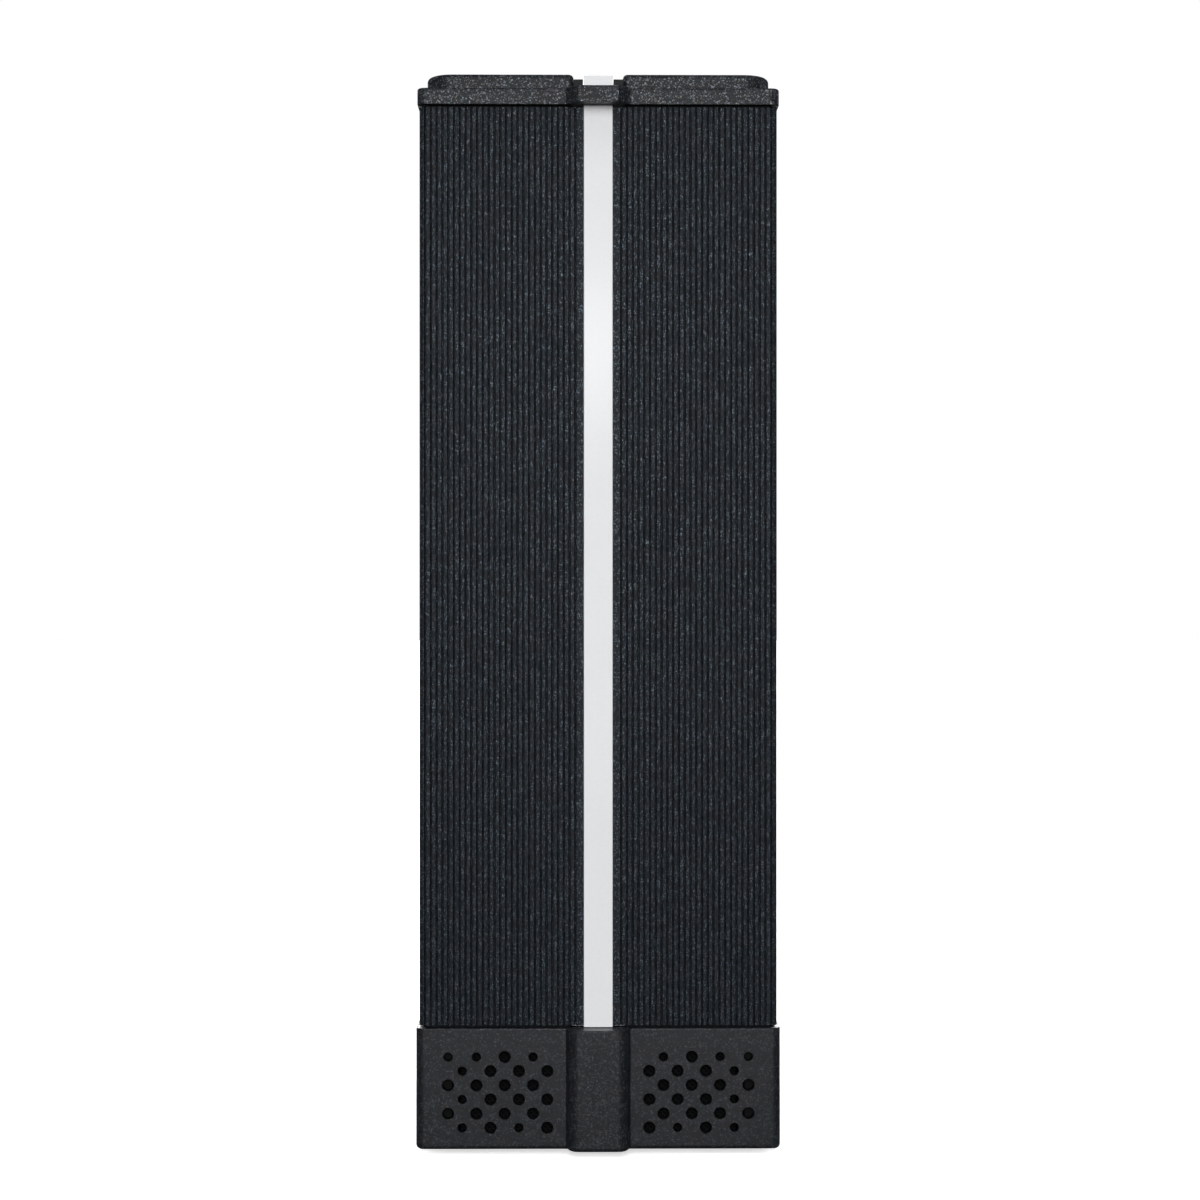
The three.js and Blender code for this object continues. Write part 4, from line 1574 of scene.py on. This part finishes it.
@dataclass
class Filter:
    """The pleated filter under the cap."""

    pleats: int = 88
    outer: float = 40.0 * MM
    fold: float = 6.0 * MM
    inner: float = 30.5 * MM
    dish_floor: float = 6.0 * MM
    dish_play: float = 0.4 * MM
    sole_rim: float = 6.0 * MM
    sole_slope: float = 0.5 * MM
    sole_deep: float = 1.2 * MM

    def build(self, finishes: Finishes) -> None:
        """Models the fleece as a ring of deep folds.

        Args:
            finishes: the materials by slot.
        """
        low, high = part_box("filter_media")
        media = upright("filter_pleats", 0, 0, self.outer, low.z, high.z, self.pleats * 4)
        valley = (self.outer - self.fold) / self.outer
        halfway = (1 + valley) / 2
        with editing(media):
            for turn, share in ((1, halfway), (2, valley), (3, halfway)):
                pick("EDGE", lambda e: stands(e) and self.ray(middle(e)) % 4 == turn)
                bpy.ops.transform.resize(value=(share, share, 1), center_override=(0, 0, 0))
        bore = upright("bore", 0, 0, self.inner, low.z - MM, high.z + MM, 64)
        combine(media, [bore], Cut.TAKE_AWAY)
        hand_over(
            media, finishes["filter_white"], Body.CAP, "filter_media", degrees=20
        )
        self.end_dish(finishes)

    def end_dish(self, finishes: Finishes) -> None:
        """Models the dish that closes the filter's lower end, with a step in its underside.

        Args:
            finishes: the materials by slot.
        """
        low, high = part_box("filter_bottom_cap")
        dish = upright("filter_end_dish", 0, 0, high.x, low.z, high.z, 96)
        round_off(dish, 0.9 * MM, 4, rim_at(low.z))
        round_off(dish, 0.3 * MM, 2, rim_at(high.z))
        with editing(dish):
            pick("FACE", lambda f: f.normal.z < -0.9999)
            bpy.ops.mesh.inset(thickness=self.sole_rim)
            bpy.ops.mesh.inset(thickness=self.sole_slope)
            bpy.ops.transform.translate(value=(0, 0, self.sole_deep))
        room, floor = self.outer + self.dish_play, low.z + self.dish_floor
        pocket = upright("pocket", 0, 0, room, floor, high.z + MM, 96)
        combine(dish, [pocket], Cut.TAKE_AWAY)
        hand_over(dish, finishes["plain_black"], Body.CAP, "filter_bottom_cap")

    def ray(self, place_at: Vector) -> int:
        """The number of the upright edge at a place, counted round the ring."""
        edges = self.pleats * 4
        return round(math.atan2(place_at.y, place_at.x) / math.tau * edges) % edges


# ---------------------------------------------------------------- studio


@dataclass(frozen=True)
class Lamp:
    """A flat rectangular light of its own width and height."""

    name: str
    spot: tuple[float, float, float]
    aim: tuple[float, float, float]
    width: float
    height: float
    power: float

    def hang(self) -> None:
        """Adds the light and points it."""
        bpy.ops.object.select_all(action="DESELECT")
        bpy.ops.object.light_add(type="AREA", location=self.spot)
        lamp = bpy.context.active_object
        lamp.name = self.name
        lamp.data.shape = "RECTANGLE"
        lamp.data.size = self.width
        lamp.data.size_y = self.height
        lamp.data.energy = self.power
        way = Vector(self.aim) - Vector(self.spot)
        lamp.rotation_euler = way.to_track_quat("-Z", "Y").to_euler()


@dataclass(frozen=True)
class Softbox:
    """A very large far light, the same over the whole object.

    azimuth is in degrees from the front towards +X, height in degrees above the floor, spread the
    angle that it fills, and gloss says whether it shows in shiny surfaces.
    """

    name: str
    azimuth: float
    height: float
    spread: float
    power: float
    gloss: bool = True

    def hang(self) -> None:
        """Adds the light and points it."""
        bpy.ops.object.select_all(action="DESELECT")
        bpy.ops.object.light_add(type="SUN", location=(0, 0, 2))
        sun = bpy.context.active_object
        sun.name = self.name
        sun.data.energy = self.power
        sun.data.angle = math.radians(self.spread)
        sun.rotation_euler = (math.radians(90 - self.height), 0, math.radians(self.azimuth))
        sun.visible_glossy = self.gloss


@dataclass
class Studio:
    """A pale floor, soft lights and the camera."""

    lamps: tuple[Lamp | Softbox, ...] = (
        Lamp("key_light", (0, -1.15, 0.36), (0, 0, 0.23), width=0.1, height=0.1, power=0.6),
        Lamp("tall_light", (0, -1.15, 0.33), (0, 0, 0.33), width=0.15, height=0.7, power=1.2),
        Softbox("front_softbox", 0, height=20, spread=50, power=2.05, gloss=False),
        Softbox("overhead_softbox", 0, height=90, spread=60, power=2.0, gloss=False),
        Softbox("right_softbox", 125, height=15, spread=30, power=3.4, gloss=False),
        Softbox("left_softbox", 235, height=15, spread=30, power=3.4, gloss=False),
        Softbox("rear_softbox", 180, height=10, spread=28, power=1.3),
    )
    air: float = 0.04
    floor_glow: float = 0.6
    lens: float = 67.5
    lens_rise: float = 0.010833
    stand_off: float = 643.5 * MM
    eye_level: float = 154.8 * MM
    eye_left: float = 5.0 * MM
    aim_right: float = 0.000756

    def build(self) -> None:
        """Makes the floor, the world's light, the lamps and the camera."""
        bpy.ops.object.select_all(action="DESELECT")
        bpy.ops.mesh.primitive_plane_add(size=24, location=(0, 0, 0))
        floor = settle(named("pale_floor"))
        paint = FLOOR_PAINT.make()
        glow = paint.node_tree.nodes["Principled BSDF"]
        glow.inputs["Emission Color"].default_value = (1, 1, 1, 1)
        glow.inputs["Emission Strength"].default_value = self.floor_glow
        dress(floor, paint)
        floor.visible_diffuse = False
        floor.visible_glossy = False
        world = bpy.data.worlds.new("studio_air")
        bpy.context.scene.world = world
        world.use_nodes = True
        tree = world.node_tree
        sight = add_node(tree, "ShaderNodeLightPath", {}, {}).outputs["Is Camera Ray"]
        level = add_node(
            tree, "ShaderNodeMapRange", {"To Min": self.air, "To Max": 1.0}, {"Value": sight}
        )
        tree.links.new(level.outputs["Result"], tree.nodes["Background"].inputs["Strength"])
        tree.nodes["Background"].inputs["Color"].default_value = (1, 1, 1, 1)
        for lamp in self.lamps:
            lamp.hang()
        bpy.context.scene.view_settings.view_transform = "Standard"
        self.camera()

    def camera(self) -> None:
        """Sets the camera level with the middle of the tower, a little to the left of it."""
        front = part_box("base_housing")[0].x
        spot = Vector((-self.eye_left, front - self.stand_off, self.eye_level))
        bpy.ops.object.select_all(action="DESELECT")
        bpy.ops.object.camera_add(location=spot)
        camera = bpy.context.active_object
        camera.data.lens = self.lens
        camera.data.shift_y = self.lens_rise
        yaw = math.atan2(self.eye_left, self.stand_off) + self.aim_right
        camera.rotation_euler = (math.radians(90), 0, -yaw)
        camera.data.clip_start = 0.01
        bpy.context.scene.camera = camera


def dress_frame(finishes: Finishes) -> None:
    """Gives every CAD node the finish of its material slot.

    Args:
        finishes: the materials by slot.
    """
    slots = {s["node"]: s["material_slot"] for s in frame["record"]["subparts"]}
    for name, node in frame["nodes"].items():
        key = "screen" if name.startswith("inlet_screen") else slots[name]
        for slot in node.material_slots:
            slot.material = finishes[key]


def main() -> None:
    """Builds every sub-assembly in order, then the studio."""
    logging.basicConfig(level=logging.INFO, format="%(message)s")
    finishes = {slot: finish.make() for slot, finish in SLOT_FINISH.items()}
    finishes["base"] = BASE_ABS.make()
    finishes["bezel"] = BEZEL_ABS.make()
    finishes["screen"] = DUST_MESH.make()
    dress_frame(finishes)
    for assembly in (Base(), Tower(), Cap(), Button(), Socket(), TopFrame(), Filter()):
        assembly.build(finishes)
        log.info("%s built", type(assembly).__name__)
    Studio().build()


if __name__ == "__main__":
    main()
